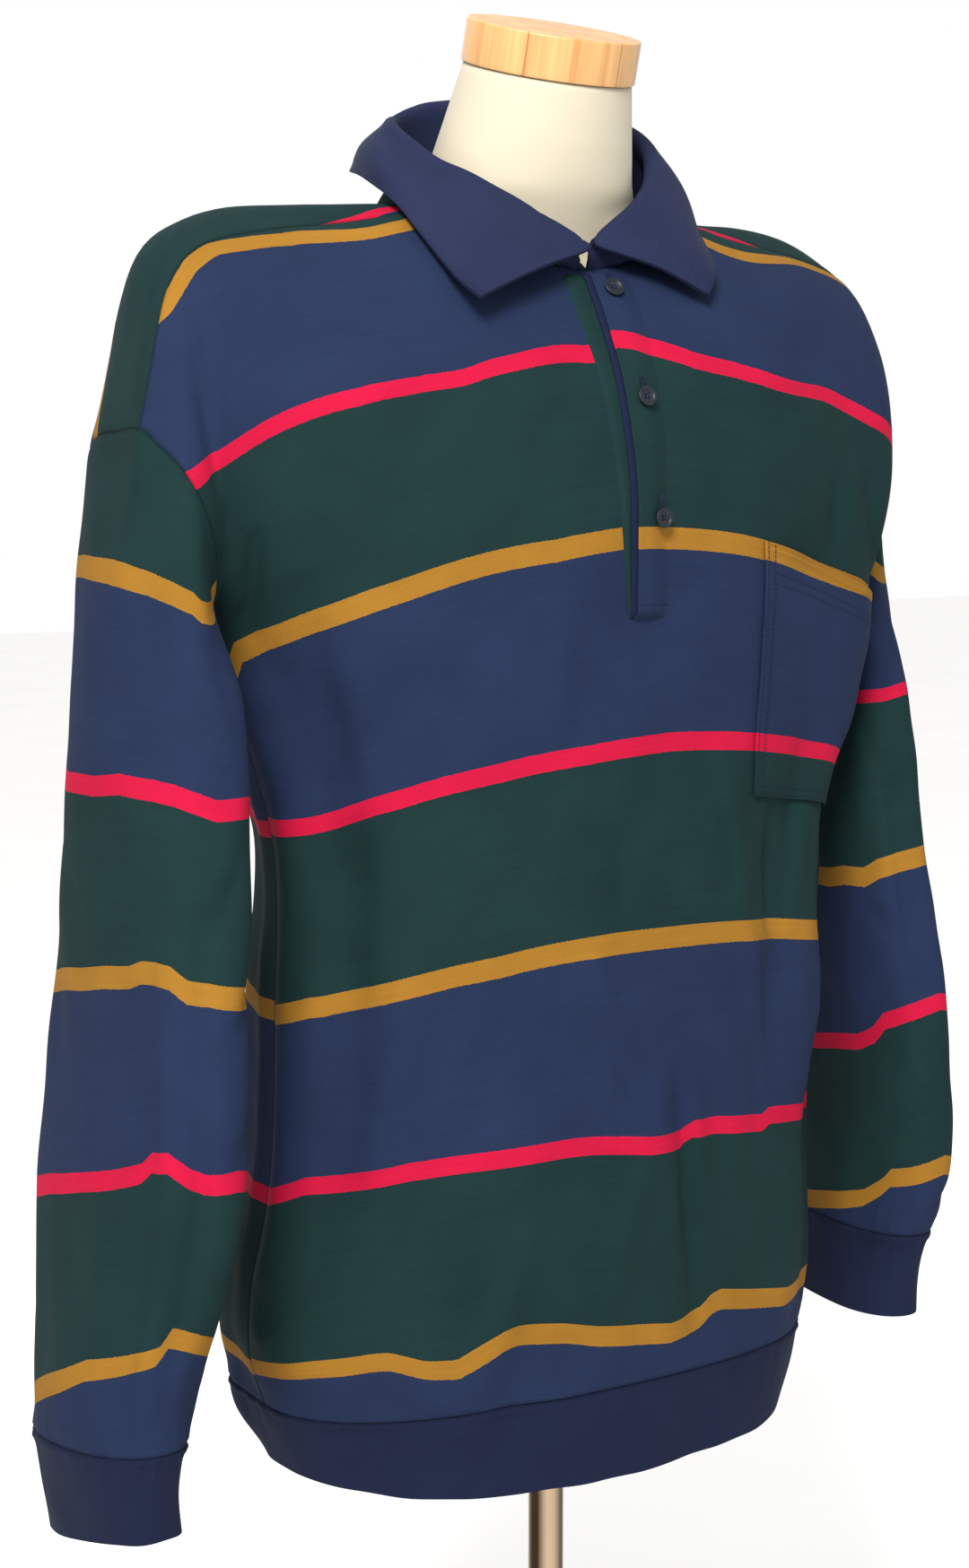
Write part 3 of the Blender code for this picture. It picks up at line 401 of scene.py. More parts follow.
# sections of the form, a row for each height
# columns: z, half_width, y_front, y_back
FORM_ROWS = (
    (0.430, 0.110, -0.050, 0.068),
    (0.436, 0.134, -0.066, 0.082),
    (0.470, 0.146, -0.076, 0.088),
    (0.530, 0.148, -0.078, 0.088),
    (0.640, 0.134, -0.070, 0.080),
    (0.740, 0.140, -0.072, 0.086),
    (0.850, 0.158, -0.074, 0.098),
    (0.930, 0.172, -0.070, 0.104),
    (0.990, 0.184, -0.058, 0.102),
    (1.030, 0.184, -0.040, 0.089),
    (1.052, 0.173, -0.028, 0.079),
    (1.066, 0.150, -0.020, 0.0725),
    (1.078, 0.112, -0.020, 0.069),
    (1.092, 0.074, -0.024, 0.072),
    (1.108, 0.063, -0.031, 0.073),
    (1.128, 0.058, -0.037, 0.072),
)
FORM_POWER = 2.3
NECK_HALF_WIDTH = 0.063   # sections no wider than this are the round neck's
NECK_RADIUS = 0.0480
SOCKET_RADIUS = 0.022
SOCKET_HEIGHT = 0.045
POLE_RADIUS = 0.0105
BASE_RADIUS = 0.150
BASE_THICK = 0.010


# %% Curves and surfaces
def column(rows, names, name):
    """One named column of a table, as an array."""
    index = names.index(name)
    return np.array([row[index] for row in rows])


def hermite(f, low, high, low_slope, high_slope):
    """The cubic between two values at a share f of the way, with the slope it has at each of them."""
    start = (1 + 2 * f) * (1 - f) ** 2 * low + f * (1 - f) ** 2 * low_slope
    return start + f * f * (3 - 2 * f) * high + f * f * (f - 1) * high_slope


def smooth(keys, values, at):
    """Cubic curve through values at rising keys, with slopes from the neighbours."""
    slopes = np.gradient(values, keys)
    spot = np.clip(np.searchsorted(keys, at, side="right") - 1, 0, len(keys) - 2)
    step = keys[spot + 1] - keys[spot]
    f = (at - keys[spot]) / step
    return hermite(f, values[spot], values[spot + 1], step * slopes[spot], step * slopes[spot + 1])


@lru_cache(maxsize=None)
def table_at(rows, names, key, at):
    """All columns of a table, read smoothly at one value of its key column."""
    keys = column(rows, names, key)
    order = np.argsort(keys)
    return {name: float(smooth(keys[order], column(rows, names, name)[order], at)) for name in names}


def signed_power(value, power):
    return np.sign(value) * np.abs(value) ** power


def unit(vector):
    return vector / max(np.linalg.norm(vector), 1e-9)


def length_to(points, axis=0):
    """How far each point lies along its line of a grid of points."""
    steps = np.linalg.norm(np.diff(points, axis=axis), axis=-1)
    return np.insert(np.cumsum(steps, axis=axis), 0, 0.0, axis=axis)


def fold_offset(angle, v):
    """How far the folds move the cloth outwards at an angle round and a height up it."""
    total = 0.0
    for top, bottom, low, high, height, half_width in BODY_FOLDS:
        if not low < v < high:
            continue
        share = (v - low) / (high - low)
        centre = bottom + (top - bottom) * share
        away = (angle - centre + 180.0) % 360.0 - 180.0
        window = math.sin(math.pi * share) if low > 0 else math.cos(0.5 * math.pi * share)
        total += height * window ** FADE * math.exp(-(away / half_width) ** 2)
    return total


def even_quarter():
    """Angles whose points are evenly spaced along a quarter of a typical section."""
    turns = np.linspace(0.0, math.pi / 2, 200)
    across = signed_power(np.sin(turns), 2 / SECTION_POWER)
    ahead = signed_power(np.cos(turns), 2 / SECTION_POWER) * SECTION_ASPECT
    length = length_to(np.stack([across, ahead], axis=1))
    return length / length[-1], turns


QUARTER_LENGTH, QUARTER_TURN = even_quarter()


def section_turn(around):
    """The section's own angle for a place around it, given as if its edge were evenly spread."""
    quarters, rest = divmod(around % 360.0, 90.0)
    share = rest / 90.0
    if quarters % 2 == 1:
        share = 1.0 - share
    turn = float(np.interp(share, QUARTER_LENGTH, QUARTER_TURN))
    return {0: turn, 1: math.pi - turn, 2: math.pi + turn, 3: -turn}[int(quarters)]


@lru_cache(maxsize=None)
def body_point(around, v):
    """Outer surface of the body below the arms. around: 0 centre front, 90 left seam, 180 back."""
    row = table_at(BODY_ROWS, BODY_COLUMNS, "v", v)
    turn = section_turn(around)
    across = float(signed_power(math.sin(turn), 2 / SECTION_POWER))
    ahead = float(signed_power(math.cos(turn), 2 / SECTION_POWER))
    middle = 0.5 * (row["y_front"] + row["y_back"])
    x = across * (row["x_left"] if across > 0 else row["x_right"])
    y = middle - ahead * (middle - row["y_front"] if ahead > 0 else row["y_back"] - middle)
    z_side = row["z_left"] if across > 0 else row["z_right"]
    z_middle = row["z_front"] if ahead > 0 else row["z_back"]
    z = z_middle + (z_side - z_middle) * math.sin(turn) ** 2
    outward = unit(np.array([math.sin(turn) * SECTION_ASPECT, -math.cos(turn), 0.0]))
    return np.array([x, y, z]) + outward * fold_offset(around % 360.0, v)


def round_place(s, back):
    """Degrees around the body of a place across a panel, -1 at the right seam to 1 at the left."""
    return 180.0 - 90.0 * s if back else 90.0 * s


def seam_spot(rows, key, at, side):
    """A point of a shoulder, neck or armhole seam, mirrored for the wearer's left."""
    spot = table_at(rows, (key, "x", "y", "z"), key, at)
    return np.array([side * spot["x"], spot["y"], spot["z"]])


def arm_set_back(side, share):
    """The left arm hangs further back than the right one, more so towards its tip."""
    if side < 0:
        return np.zeros(3)
    return np.array([0.0, LEFT_ARM_BACK * share * share * (3 - 2 * share), 0.0])


def top_point(s, back):
    """The panel's upper edge: neck edge in the middle, shoulder seam outside it."""
    side = 1.0 if s > 0 else -1.0
    place = abs(s)
    neck_s = SHOULDER_SEAM[0][0]
    if place < neck_s:
        return seam_spot(BACK_NECK if back else FRONT_NECK, "s", place, side)
    return seam_spot(SHOULDER_SEAM, "s", place, side) + arm_set_back(side, (place - neck_s) / (1 - neck_s))


@lru_cache(maxsize=None)
def armhole_point(t, side, back):
    """The armhole seam, from the underarm up to the sleeve tip."""
    bottom = body_point(90.0 * side, UNDERARM_V)
    tip = top_point(side, back)
    rows = BACK_ARMHOLE if back else FRONT_ARMHOLE
    between = []
    for share, x, y, z in rows:
        # 6.75 makes the curve's highest value 1
        inwards = 6.75 * share * share * (1 - share) * LEFT_ARMHOLE_IN if side > 0 else 0.0
        between.append(np.array([side * (x - inwards), y, z]) + arm_set_back(side, share))
    keys = np.array([0.0] + [row[0] for row in rows] + [1.0])
    spots = np.array([bottom] + between + [tip])
    return np.array([float(smooth(keys, spots[:, axis], t)) for axis in range(3)])


def leaning_path(low, high, lean, t):
    """A path that starts upright at low and leans over by the angle lean where it ends at high."""
    rise = math.sin(lean * t) / math.sin(lean)
    over = (1 - math.cos(lean * t)) / (1 - math.cos(lean))
    return low + (high - low) * np.array([rise, over, rise])


@lru_cache(maxsize=None)
def yoke_point(s, t, back):
    """Outer surface above the arms. t: 0 at the underarm's level to 1 at the panel's upper edge."""
    which = "back" if back else "front"
    lean = math.radians(table_at(LEAN, LEAN_COLUMNS, "s", abs(s))[which])
    point = leaning_path(body_point(round_place(s, back), UNDERARM_V), top_point(s, back), lean, t)
    side = 1.0 if s > 0 else -1.0
    weight = abs(s) ** 4
    end_lean = math.radians(LEAN[-1][LEAN_COLUMNS.index(which)])
    plain = leaning_path(body_point(90.0 * side, UNDERARM_V), top_point(side, back), end_lean, t)
    return point + weight * (armhole_point(t, side, back) - plain)


PANEL_PLACES = [2 * step / PANEL_COLUMNS - 1 for step in range(PANEL_COLUMNS + 1)]
TUBE_LEVELS = [float(v) for v in np.linspace(BAND_HEIGHT, UNDERARM_V, TUBE_ROWS + 1)]
HEM_LEVELS = np.linspace(0.0, BAND_HEIGHT, BAND_ROWS + 1)


def panel_grid(back):
    """Rows of points for a front or back panel, hem seam to shoulder seam."""
    grid = [[body_point(round_place(s, back), v) for s in PANEL_PLACES] for v in TUBE_LEVELS[:-1]]
    for row in range(YOKE_ROWS + 1):
        grid.append([yoke_point(s, row / YOKE_ROWS, back) for s in PANEL_PLACES])
    return np.array([line[::-1] if back else line for line in grid])


def band_grid():
    """Rings of the hem band."""
    count = 2 * PANEL_COLUMNS
    return np.array([[body_point(360.0 * step / count, v) for step in range(count)] for v in HEM_LEVELS])


def sleeve_section(rows, w, around, side):
    """A point of the sleeve below the armhole. around: 0 outside, 90 front, 180 inside, 270 back."""
    row = table_at(rows, SLEEVE_TABLE_COLUMNS, "w", w)
    angle = math.radians(around)
    out = float(signed_power(math.cos(angle), 2 / SLEEVE_POWER)) * row["half_thick"]
    ahead = float(signed_power(math.sin(angle), 2 / SLEEVE_POWER)) * row["half_depth"]
    turn = math.radians(row["turn"])
    outward = np.array([side * math.cos(turn), -math.sin(turn), 0.0])
    forward = np.array([-side * math.sin(turn), -math.cos(turn), -row["drop"] / row["half_depth"]])
    return np.array([row["x"], row["y"], row["z"]]) + out * outward + ahead * forward


SLEEVE_TURNS = [360.0 * step / SLEEVE_COLUMNS for step in range(SLEEVE_COLUMNS)]


def armhole_ring_point(around, side):
    """The armhole seam by place around the sleeve."""
    if around <= 180.0:
        return armhole_point(1.0 - around / 180.0, side, False)
    return armhole_point((around - 180.0) / 180.0, side, True)


def sleeve_grid(rows, side):
    """Rings of a sleeve, from the cuff seam up to the armhole seam."""
    join_w = rows[0][0]
    levels = np.linspace(0.0, join_w, SLEEVE_ROWS - HEAD_ROWS + 1)
    rings = [[sleeve_section(rows, w, around, side) for around in SLEEVE_TURNS] for w in levels]
    for step in range(1, HEAD_ROWS + 1):
        f = step / HEAD_ROWS
        ring = []
        for around in SLEEVE_TURNS:
            low = sleeve_section(rows, join_w, around, side)
            below = sleeve_section(rows, join_w - HEAD_STEP, around, side)
            high = armhole_ring_point(around, side)
            reach = np.linalg.norm(high - low)
            inside = 0.5 * (1 - math.cos(math.radians(around)))
            end_way = high - low - np.array([side * SLEEVE_EASE * inside, 0.0, 0.0])
            ring.append(hermite(f, low, high, unit(low - below) * reach, end_way))
        rings.append(ring)
    return ordered(np.array(rings), side)


def cuff_grid(rows, side):
    """Rings of a cuff, from its lower edge to the cuff seam."""
    levels = np.linspace(rows[-1][0], 0.0, CUFF_ROWS + 1)
    return ordered(np.array([[sleeve_section(rows, w, a, side) for a in SLEEVE_TURNS] for w in levels]), side)


def ordered(rings, side):
    """Rings turned so that their faces point out on either side of the body."""
    return rings if side < 0 else rings[:, ::-1]


def collar_profile(row, side):
    """Points across the collar: up the inner stand, over the fold, down the outer fall."""
    around = row["around"]
    share = around / 90.0
    back = around > 90.0
    neck_s = SHOULDER_SEAM[0][0] * (2.0 - share if back else share)
    seam = top_point(side * max(neck_s, 0.002), back) + np.array([0.0, 0.0, COLLAR_LIFT])
    angle = math.radians(around)
    reach_y = COLLAR_FOLD_BACK if back else COLLAR_FOLD_FRONT
    fold = np.array([side * COLLAR_FOLD_X * math.sin(angle),
                     COLLAR_CENTRE_Y - reach_y * math.cos(angle), row["fold_z"]])
    out = unit(np.array([side * math.sin(angle), -math.cos(angle), 0.0]))
    edge = np.array([side * row["edge_x"], row["edge_y"], row["edge_z"]])
    down = np.array([0.0, 0.0, -COLLAR_FOLD_GAP])
    inner = fold - out * COLLAR_FOLD_GAP + down
    outer = fold + out * COLLAR_FOLD_GAP + down
    middle = 0.5 * (outer + edge) + unit(out + np.array([0.0, 0.0, 0.6])) * COLLAR_BULGE
    return [seam, 0.5 * (seam + inner), inner, fold, outer, middle, edge]


def collar_grid():
    """Rows along the collar's length, from seam to outer edge."""
    half = COLLAR_COLUMNS // 2
    lines = []
    for side, rows in ((-1.0, COLLAR_RIGHT), (1.0, COLLAR_LEFT)):
        part = []
        for step in range(half + 1):
            around = rows[0][0] + (180.0 - rows[0][0]) * step / half
            part.append(collar_profile(table_at(rows, COLLAR_TABLE_COLUMNS, "around", around), side))
        lines.append(part)
    return np.array(lines[0] + lines[1][-2::-1]).transpose(1, 0, 2)[::-1]


# %% [markdown]
# ## From coarse to fine cloth
# The solids have about 17 mm between their points. The shells here have 3 mm, read between the same
# points with cubic curves, so both follow one surface. Every point also knows its place on the cloth:
# how far across it lies, and its height up the cloth. The stripes, the creases and the seams use that.

# %% Fine grids
EDGE_STEPS = (0.00015, 0.0008, 0.0017, 0.0030, 0.0050)    # metres in from a seam, for a crisp edge


def along(values, places):
    """Cubic reading of evenly numbered rows at fractional places."""
    places = np.asarray(places, dtype=float)
    slopes = np.gradient(values, axis=0)
    spot = np.clip(places.astype(int), 0, len(values) - 2)
    f = (places - spot).reshape((-1,) + (1,) * (values.ndim - 1))
    return hermite(f, values[spot], values[spot + 1], slopes[spot], slopes[spot + 1])


def spread(rows, low_size, high_size, count):
    """Fractional places over rows of points, crowded towards both ends. *_size: metres between the
    first two rows and the last two."""
    low = [step / low_size for step in EDGE_STEPS]
    high = [rows - 1 - step / high_size for step in EDGE_STEPS[::-1]]
    between = np.linspace(low[-1], high[0], count - len(low) - len(high) + 2)[1:-1]
    return np.array(low + list(between) + high)


def wrapped(values):
    """A ring's columns with three more of them on each side, so that curves run on over the join."""
    return np.concatenate([values[:, -3:], values, values[:, :4]], axis=1)


def finer(values, row_places, column_places):
    """A grid's values, read at fractional rows and columns."""
    return along(along(values, row_places).swapaxes(0, 1), column_places).swapaxes(0, 1)


def fine_tube(rings, up, row_places, count):
    """Points and cloth heights of a tube, with count points round it."""
    places = 3 + np.arange(count) * rings.shape[1] / count
    return finer(wrapped(rings), row_places, places), finer(wrapped(up), row_places, places)


def girth_of(ring):
    return float(np.linalg.norm(np.diff(ring, axis=0, append=ring[:1]), axis=1).sum())


def blend_in(distance, reach):
    """0 at a distance of 0, rising smoothly to 1 at reach."""
    f = np.clip(distance / reach, 0.0, 1.0)
    return f * f * (3 - 2 * f)


def bell(distance, width):
    """1 at a distance of 0, dying away smoothly on either side."""
    return np.exp(-(distance / width) ** 2)


# %% [markdown]
# ## Creases listed one by one
# Heavy jersey makes few, soft creases. Each one here is a row of a table: the line it follows on the
# cloth, its height (below 0 for a trough), and its width on either side, because a crease is often steep
# on one side only. It dies away at both ends. A slight, slow unevenness keeps the cloth between them
# from looking moulded, and fine gathers stand where cloth is sewn to a tighter band.

# %% Creases
CREASE_SAMPLES = 40
SLOPE = 0.0042                # height of an unevenness over its length


def crease_line(points):
    """A smooth line through a few points of the cloth, and its direction."""
    points = np.array(points, dtype=float)
    line = along(points, np.linspace(0, len(points) - 1, CREASE_SAMPLES))
    way = np.gradient(line, axis=0)
    return line, way / np.linalg.norm(way, axis=1, keepdims=True)


def crease_offset(across, up, rows, girth=None):
    """Outward offset, in metres, of a table of creases. girth: the width of a closed tube."""
    total = np.zeros(across.shape)
    flat = np.stack([across.ravel(), up.ravel()], axis=1)
    for points, height, width_before, width_after in rows:
        line, way = crease_line(points)
        reach = 3.0 * max(width_before, width_after)
        gap = flat[:, 0] - line[:, 0].mean()
        shifted = flat.copy()
        if girth:
            shifted[:, 0] -= girth * np.round(gap / girth)
        low, high = line.min(axis=0) - reach, line.max(axis=0) + reach
        near = np.nonzero(((shifted > low) & (shifted < high)).all(axis=1))[0]
        if len(near) == 0:
            continue
        apart = shifted[near][:, None, :] - line[None]
        distance = np.hypot(apart[:, :, 0], apart[:, :, 1])
        nearest = distance.argmin(axis=1)
        to = apart[np.arange(len(near)), nearest]
        turn = way[nearest, 0] * to[:, 1] - way[nearest, 1] * to[:, 0]
        ahead = way[nearest, 0] * to[:, 0] + way[nearest, 1] * to[:, 1]
        spacing = np.linalg.norm(np.diff(line, axis=0), axis=1).mean()
        width = np.where(turn > 0, width_before, width_after)
        place = np.clip((nearest + ahead / spacing) / (CREASE_SAMPLES - 1), 0.0, 1.0)
        total.ravel()[near] += height * np.sin(np.pi * place) ** FADE * bell(turn, width)
    return total


def unevenness(across, up, seed, girth=None):
    """Slow ups and downs of a fraction of a millimetre. Whole waves fit round a tube."""
    draw = np.random.default_rng(seed)
    total = np.zeros(across.shape)
    for length in (0.16, 0.11, 0.075, 0.05, 0.034):
        for step in range(3):
            turn = draw.uniform(-0.9, 0.9)
            waves = np.cos(turn) / length
            if girth:
                waves = round(waves * girth) / girth
            phase = 2 * np.pi * (waves * across + np.sin(turn) / length * up)
            total += np.sin(phase + draw.uniform(0, 6.3)) * length
    return total * SLOPE


def gathers(across, distance, seed, spacing, reach, height, girth):
    """Fine upright puckers next to a band, uneven, dying away over reach."""
    draw = np.random.default_rng(seed)
    total = np.zeros(across.shape)
    for step in range(4):
        waves = round(girth / (spacing * draw.uniform(0.6, 1.7)))
        total += np.sin(2 * np.pi * waves * across / girth + draw.uniform(0, 6.3))
    return total * 0.25 * height * np.exp(-np.abs(distance) / reach)


# %% [markdown]
# ## Shells
# A piece of cloth is an open surface with its wall added by Solidify, inwards from the face that shows.
# Its UV map holds real metres on the cloth. A free edge, such as a pocket's or the collar's, also gets a
# small bevel, because a doubled, sewn edge is round.

# %% Shells
CLOTH = 0.0015
DOUBLE_CLOTH = 0.0022
DOUBLE_EDGE = 0.0007          # bevel of a doubled piece's free edge


def outward(grid, closed):
    """Outward direction at each point of a grid of cloth."""
    if closed:
        across = np.roll(grid, -1, axis=1) - np.roll(grid, 1, axis=1)
    else:
        across = np.gradient(grid, axis=1)
    normals = np.cross(across, np.gradient(grid, axis=0))
    return normals / np.maximum(np.linalg.norm(normals, axis=2, keepdims=True), 1e-12)


SEAM_TUCK = 0.0016            # how far a seam's edge turns in
SEAM_CROSS = 0.0010           # and how far it reaches past the seam there


def tucked(grid, closed, sides):
    """The grid with its seam edges turned in. sides: which of low, high, start and end are seams."""
    normal = outward(grid, closed)
    grown = [grid]
    for side, row, inner in (("low", 0, 1), ("high", -1, -2)):
        if side in sides:
            way = grid[row] - grid[inner]
            way /= np.linalg.norm(way, axis=1, keepdims=True)
            extra = (grid[row] + way * SEAM_CROSS - normal[row] * SEAM_TUCK)[None]
            grown = [extra, *grown] if side == "low" else [*grown, extra]
    grid = np.concatenate(grown)
    for side, column, inner in (("start", 0, 1), ("end", -1, -2)):
        if side in sides:
            way = grid[:, column] - grid[:, inner]
            way /= np.maximum(np.linalg.norm(way, axis=1, keepdims=True), 1e-9)
            extra = grid[:, column] + way * SEAM_CROSS - outward(grid, closed)[:, column] * SEAM_TUCK
            parts = [extra[:, None], grid]
            grid = np.concatenate(parts if side == "start" else parts[::-1], axis=1)
    return grid


def repeat_edges(values, sides):
    """A map or mark for a tucked grid: its edge values once more."""
    low, high, start, end = (int(side in sides) for side in ("low", "high", "start", "end"))
    return np.pad(values, ((low, high), (start, end)), mode="edge")


def add_mark(mesh, name, kind, values):
    """A value or vector stored at each point of a mesh."""
    field = "vector" if kind == "FLOAT_VECTOR" else "value"
    mesh.attributes.new(name, kind, "POINT").data.foreach_set(field, values.astype(np.float32).ravel())


def shell(name, grid, across, up, finish, wall=CLOTH, closed=False, marks=None, round_edge=0.0):
    """A piece of cloth. across, up: its UV map, in metres; a closed tube's across has one more column."""
    rows, columns = grid.shape[:2]
    index = np.arange(rows * columns).reshape(rows, columns)
    beside = np.roll(index, -1, axis=1) if closed else index[:, 1:]
    here = index if closed else index[:, :-1]
    faces = np.stack([here[:-1], beside[:-1], beside[1:], here[1:]], axis=-1).reshape(-1, 4)
    mesh = new_mesh(name, grid.reshape(-1, 3).tolist(), faces.tolist(), finish)
    if closed:
        up = np.concatenate([up, up[:, :1]], axis=1)
    corners = [np.stack([at[:-1, :-1], at[:-1, 1:], at[1:, 1:], at[1:, :-1]], axis=-1) for at in (across, up)]
    layer = mesh.uv_layers.new(name="cloth")
    layer.data.foreach_set("uv", np.stack(corners, axis=-1).astype(np.float32).ravel())
    for mark, values in (marks or {}).items():
        add_mark(mesh, mark, "FLOAT", values)
    piece = placed(name, mesh)
    thick = piece.modifiers.new("wall", "SOLIDIFY")
    thick.thickness = wall
    thick.offset = -1.0
    thick.use_rim = True
    if round_edge:
        bevel = piece.modifiers.new("edge", "BEVEL")
        bevel.width = round_edge
        bevel.segments = 2
        bevel.limit_method = "ANGLE"
        bevel.angle_limit = math.radians(55.0)
    print(f"{name}: {len(faces)} faces, about {length_to(grid, axis=1)[:, -1].mean():.3f} m across")
    return piece


# %% [markdown]
# ## Jersey
# The cloth is smooth single jersey of mercerised cotton, piece-striped in the knitting. To the eye it is
# matt with a faint sheen at a low angle, its colour is a little uneven from course to course, and its
# loops only show close by. The loops are 1.1 mm wide. The stripes repeat up the cloth: mustard, green,
# raspberry, navy. Their edges are soft by about a loop.

# %% Jersey
NAVY = "#19233b"
GREEN = "#122526"
RED = "#99102f"
GOLD = "#7b571e"
LOOP = 0.0011                 # width of a knitted loop
LOOP_RISE = 0.8 * LOOP        # and its height


def jersey(name, colours, settings=None, relief=1.0):
    """Knitted cotton. colours: a function that gives the colour from the tree and the cloth map."""
    values = {"Roughness": 0.80, "Sheen Weight": 0.005, "Sheen Roughness": 0.45, "Specular IOR Level": 0.04}
    finish, tree, shader = new_finish(name, {**values, **(settings or {})})
    cloth = add(tree, "ShaderNodeUVMap", {"uv_map": "cloth"}).outputs["UV"]
    # uneven dye: streaks along the courses over broad wear; and painted shade, a darker line at the seams
    streak = noise(tree, stretched(tree, cloth, Scale=(14.0, 620.0, 1.0)), 1.0, 3.0, Roughness=0.6)
    wear = noise(tree, cloth, 17.0, 4.0, Roughness=0.55)
    level = ranged(tree, solved(tree, "MULTIPLY_ADD", streak, 0.6, wear), 0.45, 1.15, 0.84, 1.16)
    seam = add(tree, "ShaderNodeAttribute", {"attribute_name": "seam"}).outputs["Fac"]
    # painted shade: the colour is up to 35 percent darker where the seam mark is full
    dye_and_seam_shade = solved(tree, "MULTIPLY", level, solved(tree, "MULTIPLY_ADD", seam, -0.35, 1.0))
    dyed = colours(tree, cloth)
    tinted = add(tree, "ShaderNodeVectorMath", {"operation": "SCALE", 0: dyed, "Scale": dye_and_seam_shade})
    coloured(tree, shader, tinted.outputs["Vector"])
    # loops: upright wales crossed by finer courses, with fuzz over them
    split = add(tree, "ShaderNodeSeparateXYZ", {"Vector": cloth})
    wale = solved(tree, "SINE", solved(tree, "MULTIPLY", split.outputs["X"], 2 * math.pi / LOOP))
    course = solved(tree, "SINE", solved(tree, "MULTIPLY", split.outputs["Y"], 2 * math.pi / LOOP_RISE))
    fuzz = noise(tree, cloth, 520.0, 3.0, Roughness=0.65)
    height = solved(tree, "MULTIPLY_ADD", fuzz, 2.6, solved(tree, "MULTIPLY_ADD", course, 0.5, wale))
    bumped(tree, shader, height, 0.32 * relief, 0.00012)
    return finish


def plain(colour):
    """One dye all over."""
    def dyed(tree, _):
        made = add(tree, "ShaderNodeRGB")
        made.outputs[0].default_value = linear(colour)
        return made.outputs[0]
    return dyed


def striped(period, gold_low, gold_width, red_width):
    """Stripes up the cloth. period: from one mustard stripe to the next. gold_low: the lower edge of one."""
    def dyed(tree, cloth):
        ragged = noise(tree, cloth, 700.0, 1.0)
        split = add(tree, "ShaderNodeSeparateXYZ", {"Vector": cloth})
        soft = solved(tree, "MULTIPLY_ADD", ragged, LOOP_RISE, split.outputs["Y"])
        turns = solved(tree, "DIVIDE", solved(tree, "SUBTRACT", soft, gold_low + LOOP_RISE / 2), period)
        bands = add(tree, "ShaderNodeValToRGB", {"Fac": solved(tree, "FRACT", turns)})
        ramp = bands.color_ramp
        ramp.interpolation = "CONSTANT"
        red_low = 0.5 + 0.5 * (gold_width - red_width) / period
        places = (0.0, gold_width / period, red_low, red_low + red_width / period)
        while len(ramp.elements) < len(places):
            ramp.elements.new(0.5)
        for element, place, colour in zip(ramp.elements, places, (GOLD, GREEN, RED, NAVY)):
            element.position = place
            element.color = linear(colour)
        return bands.outputs["Color"]
    return dyed


BODY_JERSEY = jersey("striped_cotton_jersey", striped(0.2230, 0.07925, 0.0115, 0.0105))
SLEEVE_JERSEY = jersey("striped_cotton_jersey_sleeve", striped(0.2080, 0.02425, 0.0115, 0.0105))
NAVY_JERSEY = jersey("navy_cotton_jersey", plain("#141a31"))
COLLAR_JERSEY = jersey("navy_collar_knit", plain("#1b2139"), {"Roughness": 0.66})
BAND_JERSEY = jersey("navy_band_knit", plain("#141a2f"), {"Roughness": 0.78}, relief=1.4)
GREEN_JERSEY = jersey("bottle_green_cotton_jersey", plain(GREEN))
print("jersey finishes made")

# %% [markdown]
# ## Front and back
# On the real garment the front and back are cut flat and sewn at the sides, and the back is longer, so
# that its shoulder seam lies forward of the shoulder's ridge. The stripes of the two meet at the side
# seams. The panels have the long soft creases: one falls from the pocket, one runs down beside the
# placket's line to the hem, and a deep one turns in at the underarm.

# %% Where the cloth's heights lie
QUARTER = 0.235               # metres of cloth for one step of s, a quarter of the girth
BACK_TOP_V = ((0.0, 0.816), (0.06, 0.818), (0.15, 0.836), (0.30, 0.876), (0.45, 0.862), (0.60, 0.855),
              (0.85, 0.850), (1.0, 0.845))


def panel_heights(grid, back):
    """Cloth height of each of a panel's points: level by level below the arms, by length above them."""
    rows = BACK_TOP_V if back else FRONT_TOP_V
    tops = np.array([table_at(rows, TOP_COLUMNS, "s", abs(s))["v"] for s in PANEL_PLACES])
    reach = length_to(grid[TUBE_ROWS:])
    tube = np.repeat(np.array(TUBE_LEVELS[:-1])[:, None], grid.shape[1], axis=1)
    heights = np.concatenate([tube, UNDERARM_V + (tops - UNDERARM_V) * reach / reach[-1]])
    return heights, np.array(PANEL_PLACES[::-1] if back else PANEL_PLACES)


